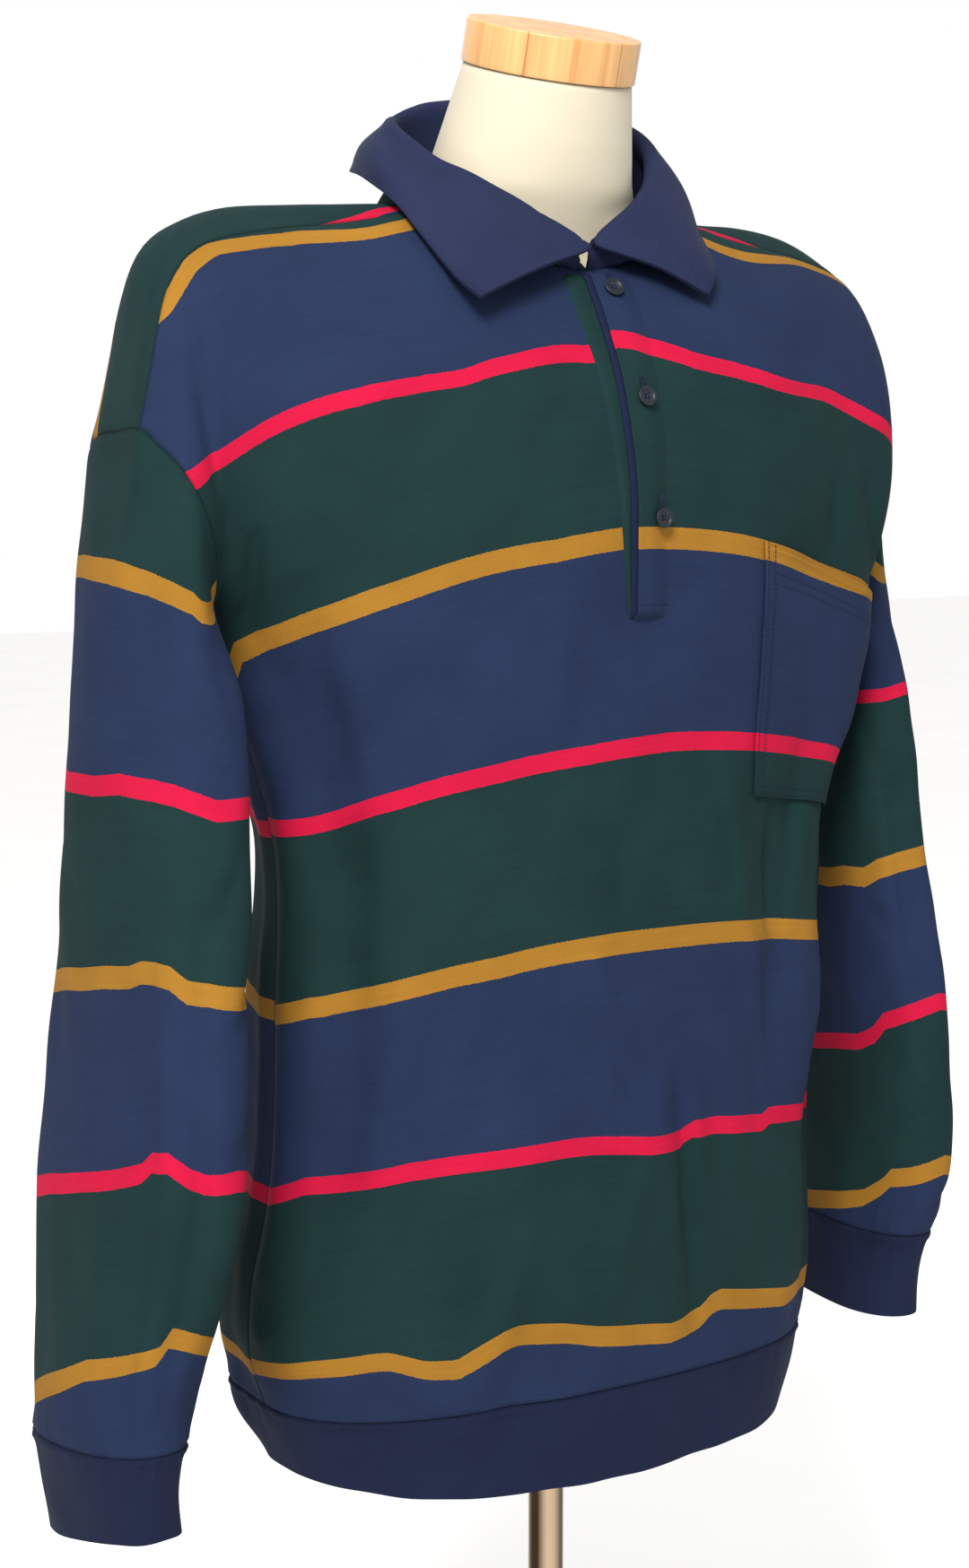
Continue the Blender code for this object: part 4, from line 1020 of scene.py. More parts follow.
# %% Creases of the front and back
# each row: points on the cloth (across in quarters of the girth, height), height, width before, after.
# The first row of each is a broad swell that closes on the wearer's right sleeve.
CREASE_DEPTH = 1.55           # how much deeper the cloth creases than these two tables' heights say
FRONT_CREASES = (
    (((-0.985, 0.480), (-0.985, 0.360), (-0.985, 0.220), (-0.985, 0.100)), 0.0030, 0.030, 0.030),
    (((-0.808, 0.605), (-0.830, 0.568), (-0.862, 0.530)), -0.0030, 0.006, 0.008),
    (((-0.800, 0.745), (-0.846, 0.708), (-0.875, 0.681), (-0.926, 0.640)), -0.0026, 0.006, 0.009),
    (((0.215, 0.420), (0.287, 0.380), (0.340, 0.310)), 0.0026, 0.011, 0.005),
    (((0.430, 0.392), (0.437, 0.353), (0.446, 0.305)), -0.0034, 0.007, 0.006),
    (((0.600, 0.396), (0.560, 0.350), (0.530, 0.300)), 0.0028, 0.007, 0.008),
    (((0.340, 0.320), (0.390, 0.275), (0.460, 0.190)), 0.0024, 0.007, 0.011),
    (((0.700, 0.320), (0.665, 0.270), (0.615, 0.205)), 0.0026, 0.007, 0.009),
    (((0.100, 0.238), (0.143, 0.198), (0.169, 0.143), (0.197, 0.066)), -0.0044, 0.005, 0.012),
    (((0.150, 0.236), (0.185, 0.190), (0.225, 0.120)), 0.0022, 0.008, 0.010),
    (((-0.150, 0.308), (-0.124, 0.290), (-0.080, 0.262)), 0.0011, 0.005, 0.006),
    (((-0.130, 0.255), (-0.100, 0.240), (-0.070, 0.222)), 0.0010, 0.004, 0.006),
    (((-0.066, 0.366), (-0.058, 0.345), (-0.050, 0.322)), -0.0010, 0.004, 0.005),
    (((0.020, 0.190), (-0.046, 0.147), (-0.100, 0.098)), 0.0018, 0.010, 0.008),
    (((-0.300, 0.165), (-0.345, 0.120), (-0.400, 0.060)), 0.0018, 0.010, 0.010),
    (((-0.947, 0.150), (-0.930, 0.130), (-0.900, 0.118)), -0.0030, 0.008, 0.010),
    (((0.570, 0.600), (0.590, 0.570), (0.610, 0.540)), -0.0022, 0.006, 0.007),
    (((0.660, 0.610), (0.700, 0.580), (0.770, 0.545)), -0.0024, 0.006, 0.007),
    (((-0.700, 0.560), (-0.740, 0.500), (-0.760, 0.430)), -0.0020, 0.010, 0.012),
    (((-0.620, 0.330), (-0.680, 0.250), (-0.700, 0.150)), 0.0022, 0.014, 0.012),
    (((-0.880, 0.420), (-0.860, 0.330), (-0.870, 0.240)), 0.0024, 0.010, 0.012),
    (((0.250, 0.690), (0.420, 0.640), (0.560, 0.600)), 0.0012, 0.012, 0.014),
    (((-0.250, 0.640), (-0.420, 0.600), (-0.600, 0.580)), 0.0010, 0.014, 0.014),
    (((-0.140, 0.520), (-0.200, 0.470), (-0.240, 0.410)), 0.0009, 0.010, 0.012),
)
BACK_CREASES = (
    (((-0.985, 0.480), (-0.985, 0.360), (-0.985, 0.220), (-0.985, 0.100)), 0.0045, 0.030, 0.030),
    (((-0.780, 0.620), (-0.700, 0.560), (-0.560, 0.500)), -0.0030, 0.008, 0.010),
    (((0.790, 0.610), (0.690, 0.545), (0.520, 0.480)), -0.0028, 0.010, 0.008),
    (((-0.860, 0.560), (-0.780, 0.480), (-0.700, 0.380)), 0.0026, 0.010, 0.012),
    (((0.850, 0.540), (0.800, 0.450), (0.720, 0.360)), 0.0026, 0.012, 0.010),
    (((-0.420, 0.400), (-0.380, 0.300), (-0.400, 0.170)), 0.0024, 0.012, 0.014),
    (((0.380, 0.360), (0.420, 0.250), (0.390, 0.130)), 0.0026, 0.014, 0.012),
    (((0.050, 0.300), (0.020, 0.200), (0.060, 0.080)), -0.0026, 0.010, 0.012),
    (((-0.650, 0.260), (-0.620, 0.180), (-0.660, 0.080)), -0.0028, 0.008, 0.010),
    (((0.640, 0.240), (0.670, 0.160), (0.640, 0.070)), -0.0024, 0.010, 0.008),
    (((-0.180, 0.560), (-0.060, 0.530), (0.120, 0.545)), 0.0012, 0.014, 0.016),
)
# where each front stripe runs: its height in the knit, then place across and how far it stands above that
FRONT_STRIPES = (
    (0.085, ((-0.99, 0.003), (-0.80, 0.010), (-0.66, 0.012), (-0.62, 0.011), (-0.54, 0.002), (-0.47, -0.001),
             (-0.43, 0.003), (-0.36, 0.011), (-0.33, 0.012), (-0.21, 0.008), (-0.13, 0.003), (0.0, -0.002),
             (0.09, -0.005), (0.20, -0.002), (0.235, 0.005), (0.27, 0.007), (0.37, 0.003), (0.52, -0.002))),
    (0.1965, ((-0.97, 0.001), (-0.87, 0.011), (-0.62, 0.011), (-0.39, 0.006), (-0.14, 0.002), (0.02, -0.003),
              (0.14, -0.004), (0.165, 0.002), (0.24, 0.002), (0.43, -0.002), (0.455, 0.002), (0.64, 0.001))),
    (0.308, ((-0.99, -0.002), (-0.88, 0.005), (-0.63, 0.004), (-0.40, 0.001), (1.0, 0.001))),
    (0.4195, ((-0.70, 0.003), (-0.39, -0.003), (-0.15, -0.003), (0.10, 0.0), (1.0, 0.0))),
    (0.531, ((-1.0, -0.026), (-0.966, -0.023), (-0.90, -0.003), (-0.83, 0.0), (-0.53, -0.003),
             (-0.19, -0.003), (-0.03, 0.001), (0.52, 0.0), (0.69, 0.004), (1.0, 0.006))),
    (0.6425, ((-0.92, 0.017), (-0.68, 0.008), (-0.54, 0.002), (-0.41, 0.004), (-0.27, -0.002),
              (-0.072, -0.011), (-0.03, -0.011), (0.0, -0.004), (0.125, -0.007), (0.18, -0.007),
              (0.35, 0.004), (0.52, 0.003), (0.66, -0.001))),
    (0.754, ((-0.83, 0.001), (-0.74, 0.011), (-0.68, 0.011), (-0.62, 0.004), (-0.55, -0.001), (-0.46, 0.003),
             (-0.37, 0.006), (-0.25, 0.002), (0.30, 0.0))),
)
STRIPE_PLATEAU = 0.008        # the knit is at its true size this far either side of a stripe's middle
FRONT_KNIT_TOP = 0.80         # a height above each piece's highest point
BACK_KNIT_TOP = 0.90
SLEEVE_KNIT_TOP = 0.53


def knit_height(turn, up, stripes, top, period=None):
    """Height in the knit of each point, from its height on the form and the stripes' places there."""
    placed, knit = [np.zeros(up.shape)], [0.0]
    for level, rows in stripes:
        places, shifts = zip(*rows)
        shift = np.interp(turn, places, shifts, period=period)
        placed += [level + shift - STRIPE_PLATEAU, level + shift + STRIPE_PLATEAU]
        knit += [level - STRIPE_PLATEAU, level + STRIPE_PLATEAU]
    placed.append(np.full(up.shape, top))
    knit.append(top)
    result = up.copy()
    for low, high, knit_low, knit_high in zip(placed, placed[1:], knit, knit[1:]):
        share = (up - low) / (high - low)
        result = np.where((share >= 0) & (share <= 1), knit_low + share * (knit_high - knit_low), result)
    return result


# %% The front and back shells
SEAM_MARK = 0.0012            # half width of a seam's line of painted shade
SEAM_DIP = 0.0006             # how deep the cloth sinks at a seam
SEAM_DIP_WIDTH = 0.0016
PANEL_ROW_SIZES = (0.044, 0.024)          # metres between its first two rows of points and its last two
PANEL_STILL = 0.016           # how far in from its seams the creases have died away
PANEL_PUCKERS = (0.011, 0.012, 0.0007)    # spacing, reach and height of the gathers at the hem band


def relief(across, up, edge, band_distance, creases, seed, still, pucker, girth, closed):
    """Outward offset of a panel or sleeve: creases and unevenness, gathers at its band, and sunk seams.
    edge: distance from the nearest seam. still: how far in from it the creases have died away. pucker:
    spacing, reach and height of the gathers."""
    round_tube = girth if closed else None
    offset = crease_offset(across, up, creases, round_tube) + unevenness(across, up, seed, round_tube)
    offset = offset * blend_in(edge, still)
    offset += gathers(across, band_distance, seed + 1, *pucker, girth) * blend_in(edge, 0.004)
    return offset - SEAM_DIP * bell(edge, SEAM_DIP_WIDTH)


def panel_shell(name, back, columns, rows, creases, seed):
    coarse = panel_grid(back)
    heights, s = panel_heights(coarse, back)
    side = QUARTER * 2 / PANEL_COLUMNS
    row_places = spread(len(coarse), *PANEL_ROW_SIZES, rows)
    column_places = spread(coarse.shape[1], side, side, columns)
    grid, up = (finer(values, row_places, column_places) for values in (coarse, heights))
    s = along(s, column_places)
    across = np.broadcast_to(s * QUARTER, up.shape)
    edge = np.minimum(QUARTER - np.abs(across), np.minimum(up - BAND_HEIGHT, up[-1:] - up))
    table = [([(place * QUARTER, v) for place, v in points], height * CREASE_DEPTH, *widths)
             for points, height, *widths in creases]
    offset = relief(across, up, edge, up - BAND_HEIGHT, table, seed, PANEL_STILL, PANEL_PUCKERS,
                    4 * QUARTER, False)
    grid = grid + outward(grid, False) * offset[:, :, None]
    stripes, knit_top = ((), BACK_KNIT_TOP) if back else (FRONT_STRIPES, FRONT_KNIT_TOP)
    knit = knit_height(s, up, stripes, knit_top)
    sides = ("low", "high", "start", "end")
    # seam: painted shade along the panel's seams
    across, shown_up, seam = (repeat_edges(values, sides) for values in (across, knit, bell(edge, SEAM_MARK)))
    piece = shell(name, tucked(grid, False, sides), across, shown_up, BODY_JERSEY, marks={"seam": seam})
    return piece, grid, up, s


FRONT, front_grid, front_up, front_s = panel_shell("front_cloth", False, 158, 232, FRONT_CREASES, 11)
BACK = panel_shell("back_cloth", True, 120, 168, BACK_CREASES, 12)[0]

# %% [markdown]
# ## Hem band and cuffs
# Both are doubled, plain navy jersey, sewn on under a little tension. The cloth above them is gathered
# a little, the seam stands up as a low ridge, and the lower edge is a fold, so it is round.


# %% Hem band
def band_offset(across, up, top, seed, girth):
    """A band's relief: the ridge just under its seam, puckers below that, and a soft unevenness."""
    below = top - up
    ridge = 0.0009 * bell(below - 0.0026, 0.0022) - 0.0007 * bell(below, SEAM_MARK)
    puckers = gathers(across, below, seed, 0.013, 0.016, 0.0010, girth) * blend_in(below, 0.003)
    return ridge + puckers + unevenness(across, up, seed + 5, girth) * blend_in(below, 0.012) * 0.8


def band_shell(name, rings, heights, top, count, rows, seed):
    """A hem band or cuff from its coarse rings."""
    girth = girth_of(rings[1])
    spacing = abs(heights[1] - heights[0])
    up = np.broadcast_to(np.array(heights)[:, None], rings.shape[:2])
    grid, up = fine_tube(rings, up, spread(len(rings), spacing, spacing, rows), count)
    across = np.broadcast_to(np.arange(count) * girth / count, up.shape)
    offset = band_offset(across, up, top, seed, girth)
    grid = grid + outward(grid, True) * offset[:, :, None]
    map_across = np.broadcast_to(np.arange(count + 1) * girth / count, (up.shape[0] + 1, count + 1))
    # seam: painted shade under the band's seam
    up, seam = (repeat_edges(values, ("high",)) for values in (up, bell(top - up, SEAM_MARK)))
    return shell(name, tucked(grid, True, ("high",)), map_across, up, BAND_JERSEY, wall=DOUBLE_CLOTH,
                 closed=True, marks={"seam": seam}, round_edge=DOUBLE_EDGE)


HEM = band_shell("hem_band_cloth", band_grid(), HEM_LEVELS, BAND_HEIGHT, 420, 30, 21)

# %% [markdown]
# ## Sleeves
# Each sleeve is one piece, closed by a seam under the arm, set flat into a dropped shoulder. An empty
# sleeve of heavy jersey hangs flat and folds lengthwise, so a soft upright edge runs down each of them,
# and its stripes step there. A few slanting creases stand at the elbow and at the underarm.

# %% Sleeve creases
# each row: points (degrees round from the outside towards the front, height above the cuff seam),
# height, width before, after. The right one's first row is a broad swell that closes on the body.
RIGHT_CREASES = (
    (((122, 0.440), (120, 0.310), (118, 0.170), (116, 0.030)), 0.0064, 0.030, 0.030),
    (((46, 0.300), (52, 0.220), (56, 0.134), (62, 0.060), (66, 0.004)), 0.0046, 0.016, 0.006),
    (((74, 0.300), (78, 0.220), (82, 0.120), (84, 0.010)), -0.0034, 0.010, 0.012),
    (((24, 0.330), (20, 0.240), (26, 0.120)), -0.0018, 0.018, 0.016),
    (((120, 0.350), (100, 0.300), (70, 0.270)), -0.0022, 0.008, 0.010),
    (((150, 0.280), (120, 0.240), (96, 0.225)), -0.0024, 0.008, 0.010),
    (((140, 0.190), (112, 0.170), (92, 0.160)), -0.0016, 0.008, 0.010),
    (((60, 0.450), (84, 0.420), (112, 0.370)), -0.0016, 0.010, 0.012),
    (((200, 0.300), (215, 0.200), (208, 0.080)), 0.0030, 0.012, 0.016),
    (((262, 0.360), (270, 0.250), (262, 0.120)), -0.0030, 0.014, 0.012),
    (((318, 0.300), (310, 0.190), (316, 0.060)), 0.0026, 0.016, 0.012),
    (((240, 0.440), (225, 0.400), (212, 0.350)), -0.0022, 0.010, 0.010),
    (((290, 0.240), (262, 0.215), (236, 0.205)), -0.0020, 0.009, 0.010),
)
LEFT_CREASES = (
    (((72, 0.420), (70, 0.300), (68, 0.150), (64, 0.004)), 0.0042, 0.015, 0.006),
    (((92, 0.380), (96, 0.250), (92, 0.060)), -0.0032, 0.010, 0.012),
    (((34, 0.300), (38, 0.200), (30, 0.080)), -0.0018, 0.016, 0.016),
    (((124, 0.330), (104, 0.290), (76, 0.270)), -0.0020, 0.008, 0.010),
    (((140, 0.220), (112, 0.200), (86, 0.190)), -0.0020, 0.008, 0.010),
    (((204, 0.310), (214, 0.210), (206, 0.090)), 0.0030, 0.012, 0.016),
    (((258, 0.360), (268, 0.250), (260, 0.120)), -0.0030, 0.014, 0.012),
    (((312, 0.320), (306, 0.200), (314, 0.070)), 0.0026, 0.016, 0.012),
    (((285, 0.250), (258, 0.225), (232, 0.215)), -0.0020, 0.009, 0.010),
    (((56, 0.040), (74, 0.022), (96, 0.014)), -0.0022, 0.006, 0.006),
)
# where each stripe runs round a sleeve: its height in the knit, then degrees and how far it stands above that
RIGHT_STRIPES = (
    (0.030, ((6, 0.005), (22, 0.015), (45, 0.022), (71, 0.031), (77, 0.041), (93, 0.038), (180, 0.010),
             (250, -0.012), (331, -0.011))),
    (0.134, ((10, 0.007), (26, 0.016), (39, 0.023), (45, 0.030), (58, 0.033), (71, 0.026), (84, 0.023),
             (106, 0.023), (180, 0.004), (250, -0.018), (318, -0.019), (347, -0.006))),
    (0.238, ((10, 0.007), (26, 0.013), (34, 0.018), (44, 0.020), (55, 0.020), (67, 0.014), (84, 0.013),
             (135, 0.004), (200, -0.006), (250, -0.018), (309, -0.019), (350, -0.003))),
    (0.342, ((13, 0.005), (39, 0.008), (55, 0.008), (74, 0.005), (87, 0.002), (103, 0.002), (200, -0.004),
             (325, -0.008), (354, -0.002))),
    (0.446, ((0, 0.0), (26, 0.004), (48, 0.005), (67, 0.004), (77, 0.0), (110, -0.004), (200, 0.0))),
)
LEFT_STRIPES = (
    (0.030, ((0, 0.004), (78, 0.018), (111, 0.012), (130, 0.009), (136, 0.002), (149, -0.008), (165, -0.014),
             (197, -0.024), (270, -0.012))),
    (0.134, ((0, 0.004), (78, 0.020), (111, 0.013), (130, 0.007), (139, -0.003), (152, -0.010), (168, -0.013),
             (191, -0.019), (270, -0.010))),
    (0.238, ((0, 0.002), (72, 0.007), (98, 0.004), (117, 0.0), (130, -0.006), (146, -0.006), (159, -0.009),
             (270, -0.004))),
    (0.342, ((0, 0.004), (75, 0.012), (101, 0.008), (180, 0.0))),
    (0.446, ((0, 0.0), (180, 0.0))),
)


# %% The sleeve shells
SLEEVE_FINE_COLUMNS = 112
SLEEVE_FINE_ROWS = 176
SLEEVE_ROW_SIZES = (0.035, 0.022)
SLEEVE_STILL = 0.014
SLEEVE_PUCKERS = (0.010, 0.014, 0.0012)
SLEEVE_TOP_W = 0.516          # cloth height at the sleeve's tip
UNDERARM_LESS = 0.10          # how much lower the armhole is under the arm
GIRTH_RING = 6                # the coarse ring that sets the width of the sleeve's cloth


def sleeve_heights():
    """Cloth height of each point of a sleeve's coarse rings, by ring and degrees round."""
    join_w = SLEEVE_RIGHT[0][0]
    levels = np.linspace(0.0, join_w, SLEEVE_ROWS - HEAD_ROWS + 1)
    top = SLEEVE_TOP_W - UNDERARM_LESS * np.sin(np.radians(SLEEVE_TURNS) / 2) ** 4
    rows = [np.full(SLEEVE_COLUMNS, level) for level in levels]
    rows += [join_w + (top - join_w) * step / HEAD_ROWS for step in range(1, HEAD_ROWS + 1)]
    return np.array(rows)


def sleeve_shell(name, rows, side, creases, stripes, seed):
    """One sleeve. Its columns run the other way round on the wearer's left."""
    rings = sleeve_grid(rows, side)
    heights = ordered(sleeve_heights(), side)
    count = SLEEVE_FINE_COLUMNS
    grid, up = fine_tube(rings, heights, spread(len(rings), *SLEEVE_ROW_SIZES, SLEEVE_FINE_ROWS), count)
    girth = girth_of(rings[GIRTH_RING])
    share = np.arange(count + 1) / count
    turns = 360.0 * share if side < 0 else 360.0 * (1.0 - share - 1.0 / SLEEVE_COLUMNS)
    across = np.broadcast_to(turns[:-1] / 360.0 * girth, up.shape)
    table = [([(degrees / 360.0 * girth, w) for degrees, w in points], *rest) for points, *rest in creases]
    edge = np.minimum(up, up[-1:] - up)
    offset = relief(across, up, edge, up, table, seed, SLEEVE_STILL, SLEEVE_PUCKERS, girth, True)
    grid = grid + outward(grid, True) * offset[:, :, None]
    knit = knit_height(np.broadcast_to(turns[:-1] % 360.0, up.shape), up, stripes,
                       SLEEVE_KNIT_TOP, 360.0)
    sides = ("low", "high")
    map_across = np.broadcast_to(turns / 360.0 * girth, (up.shape[0] + 2, count + 1))
    # seam: painted shade along the sleeve's armhole and cuff seams
    shown_up, seam = (repeat_edges(values, sides) for values in (knit, bell(edge, SEAM_MARK)))
    return shell(name, tucked(grid, True, sides), map_across, shown_up, SLEEVE_JERSEY, closed=True,
                 marks={"seam": seam})


SLEEVES, CUFFS = {}, {}
ARMS = (("right", SLEEVE_RIGHT, -1.0, RIGHT_CREASES, RIGHT_STRIPES, 31),
        ("left", SLEEVE_LEFT, 1.0, LEFT_CREASES, LEFT_STRIPES, 34))
for word, rows, side, creases, stripes, seed in ARMS:
    SLEEVES[word] = sleeve_shell(f"sleeve_{word}_cloth", rows, side, creases, stripes, seed)
    levels = np.linspace(rows[-1][0], 0.0, CUFF_ROWS + 1)
    CUFFS[word] = band_shell(f"cuff_{word}_cloth", cuff_grid(rows, side), levels, 0.0, 180, 28, seed + 40)

# %% [markdown]
# ## Collar
# A plain doubled collar of the same navy knit. It stands up at the neck, rolls over, and falls to two
# points, longer and flatter on the wearer's right. One surface carries the stand, the roll and the fall.

# %% Collar
COLLAR_FINE_ROWS = 46
COLLAR_FINE_COLUMNS = 230
COLLAR_TUCK = (0.003, 0.009)  # how far in and down its hidden last row goes
coarse = collar_grid()
# the stand's last row goes down and in behind the panels' neck edge
middle = np.array([0.0, COLLAR_CENTRE_Y, 0.0])
inwards = (middle - coarse[-1]) * [1.0, 1.0, 0.0]
inwards /= np.linalg.norm(inwards, axis=1, keepdims=True)
coarse = np.concatenate([coarse, (coarse[-1] + inwards * COLLAR_TUCK[0] - [0.0, 0.0, COLLAR_TUCK[1]])[None]])
grid = finer(coarse, np.linspace(0, coarse.shape[0] - 1, COLLAR_FINE_ROWS),
             np.linspace(0, coarse.shape[1] - 1, COLLAR_FINE_COLUMNS))
collar_up = length_to(grid)
collar_across = np.broadcast_to(length_to(grid, axis=1)[COLLAR_FINE_ROWS // 2], collar_up.shape)
free_edge = np.minimum(collar_up, np.minimum(collar_across, collar_across[:, -1:] - collar_across))
offset = unevenness(collar_across, collar_up, 51) * blend_in(free_edge, 0.01) * 0.8
offset += 0.0004 * bell(free_edge - 0.004, 0.002)
grid = grid + outward(grid, False) * offset[:, :, None]
# its seam mark is painted shade along the collar's outer edge and its two ends, at six tenths strength
COLLAR = shell("collar_cloth", grid, collar_across, collar_up, COLLAR_JERSEY, wall=DOUBLE_CLOTH,
               marks={"seam": 0.6 * bell(free_edge, SEAM_MARK)}, round_edge=DOUBLE_EDGE)

# %% [markdown]
# ## Placket and pocket
# Strips and a patch laid on the front. Each takes its points from the front's own fine surface and is
# moved out by the layers below it, so it follows every fold of the panel. The green strip shows beside
# the opening, the navy facing peeks out past the striped one, and the stripes of strip and pocket meet
# those of the front.

# %% Points on the front
PUFF_REACH = 0.030            # over this far in from its edges a pocket bulges up
STITCH_PULL = 0.0003          # how deep a line of stitches pulls the cloth in


def on_front(s_values, v_rows, lift):
    """Points of the fine front at places across (one per column, or a grid) and cloth heights, moved out."""
    s_grid = np.broadcast_to(s_values, (len(v_rows), np.shape(s_values)[-1]))
    columns = np.interp(s_grid, front_s, np.arange(len(front_s)))
    grid = np.zeros(s_grid.shape + (3,))
    whole = np.clip(columns.astype(int), 1, len(front_s) - 3)
    for row, v in enumerate(v_rows):
        for step in range(s_grid.shape[1]):
            first = whole[row, step]
            f = columns[row, step] - first
            corners = []
            for column in range(first - 1, first + 3):
                place = np.interp(v, front_up[:, column], np.arange(len(front_up)))
                low = int(np.clip(place, 1, len(front_up) - 3))
                corners.append(cubic(front_grid[low - 1:low + 3, column], place - low))
            grid[row, step] = cubic(corners, f)
    return grid + outward(grid, False) * np.asarray(lift)[..., None]


def cubic(four, f):
    """The curve through four even points, read between the middle two."""
    a, b, c, d = four
    return b + 0.5 * f * (c - a + f * (2 * a - 5 * b + 4 * c - d + f * (3 * (b - c) + d - a)))


def patch(name, low_s, high_s, v_rows, lift, finish, wall, columns, bulge=0.0, seam_lines=(), over=0):
    """A strip or pocket; its piece, points and places across. low_s, high_s: its sides, one value for all
    rows or one per row. lift: how high it lies, from the share across and the distance to its ends.
    seam_lines: metres in from the edge. over: rows that go straight on past the top."""
    share = np.linspace(0.0, 1.0, columns)
    low_s, high_s = (np.broadcast_to(values, v_rows.shape)[:, None] for values in (low_s, high_s))
    s_grid = low_s + (high_s - low_s) * share
    across = s_grid * QUARTER
    up = np.broadcast_to(v_rows[:, None], s_grid.shape)
    side = np.minimum(across - across[:, :1], across[:, -1:] - across)
    ends = np.minimum(up - v_rows[0], v_rows[-1] - up)
    edge = np.minimum(side, ends)
    puff = bulge * blend_in(side, PUFF_REACH) * blend_in(up - v_rows[0], PUFF_REACH)
    pulled = sum((bell(edge - inset, SEAM_MARK) for inset in seam_lines), np.zeros(edge.shape))
    grid = on_front(s_grid, v_rows, lift(share[None, :], ends) + puff - STITCH_PULL * pulled)
    knit = knit_height(s_grid, up, FRONT_STRIPES, FRONT_KNIT_TOP)
    rise = (grid[-1] - grid[-4]) / 3.0
    grown = [grid] + [(grid[-1] + rise * step)[None] for step in range(1, over + 1)]
    # the seam mark is painted shade along the lines of stitches, half as strong as at a seam
    across, knit, seam = (np.pad(values, ((0, over), (0, 0)), mode="edge")
                          for values in (across, knit, 0.5 * pulled))
    piece = shell(name, np.concatenate(grown), across, knit, finish, wall=wall, marks={"seam": seam},
                  round_edge=0.3 * wall)
    return piece, grid, s_grid


# %% Placket strips
STRIP_WALL = 0.0012
LAYER = 0.0016                # one strip and the gap under it
SUNK = -0.0009                # under the front's face, where a strip runs into it
END_RISE = 0.006              # over this far from its ends a strip comes up to its layer
PLACKET_BOTTOM_V = 0.486
PLACKET_TOP_V = 0.684
PLACKET_EDGE = ((0.486, -0.004), (0.56, -0.004), (0.62, -0.003), (0.678, -0.004))
UNDERLAP_EDGE = ((0.486, -0.020), (0.515, -0.034), (0.560, -0.048), (0.620, -0.058), (0.678, -0.072))
UNDERLAP_END = 0.012          # places across of the strips' far sides
FACING_END = 0.018
OVERLAP_END = 0.106
FACING_SHOWS = 0.0125         # how much of the facing peeks out past the overlap
STRIP_OVER = 7                # rows of points that run on under the collar
placket_rows = np.linspace(PLACKET_BOTTOM_V, PLACKET_TOP_V, 84)


def edge_at(table, v_rows):
    """A strip's side from a short table of height and place across."""
    return np.interp(v_rows, *zip(*table))


def raised(away, layers):
    """Sunk into the front where away is 0, and on its layer where it is 1."""
    return SUNK * (1 - away) + layers * LAYER * away


def underlap_lift(share, ends):
    """Sewn level with the front on its outer side, a layer up beside the opening."""
    return raised(blend_in(share, 0.30) * blend_in(ends, END_RISE), 1)


def facing_lift(_, ends):
    """Two layers up, apart from its ends."""
    return raised(blend_in(ends, END_RISE), 2)


def overlap_lift(share, ends):
    """Three layers up along the opening, and one with the front on its other side and at its end."""
    return raised(blend_in(1.0 - share, 0.75) * (0.10 + 0.90 * blend_in(ends, END_RISE)), 3)


overlap_edge = edge_at(PLACKET_EDGE, placket_rows)
UNDERLAP = patch("underlap_cloth", edge_at(UNDERLAP_EDGE, placket_rows), UNDERLAP_END, placket_rows,
                 underlap_lift, GREEN_JERSEY, STRIP_WALL, 16, over=STRIP_OVER)[0]
FACING = patch("facing_cloth", overlap_edge - FACING_SHOWS, FACING_END, placket_rows, facing_lift, NAVY_JERSEY,
               STRIP_WALL, 10, over=STRIP_OVER)[0]
OVERLAP, overlap_grid, overlap_s = patch("overlap_cloth", overlap_edge, OVERLAP_END, placket_rows,
                                         overlap_lift, BODY_JERSEY, STRIP_WALL, 24)

# %% Pocket
POCKET_WALL = 0.0014
POCKET_LIFT = 0.0026
POCKET_LOW_V = 0.388
POCKET_TOP_V = 0.537
POCKET_SIDES = (0.3529, 0.8235)       # places across
pocket_rows = np.linspace(POCKET_LOW_V, POCKET_TOP_V, 76)


def pocket_lift(*_):
    return POCKET_LIFT


POCKET, pocket_fine, pocket_s = patch("pocket_cloth", *POCKET_SIDES, pocket_rows, pocket_lift, BODY_JERSEY,
                                      POCKET_WALL, 58, bulge=0.0012, seam_lines=(0.0015, 0.0065))

# %% [markdown]
# ## Stitches
# Rows of topstitching hold the pocket, its doubled top and the placket's box, and close satin stitches
# bind the buttonholes. Each stitch is a small bead of thread. Geometry Nodes puts one on every point of a
# path and turns it along the direction stored there, so one tree serves both kinds.

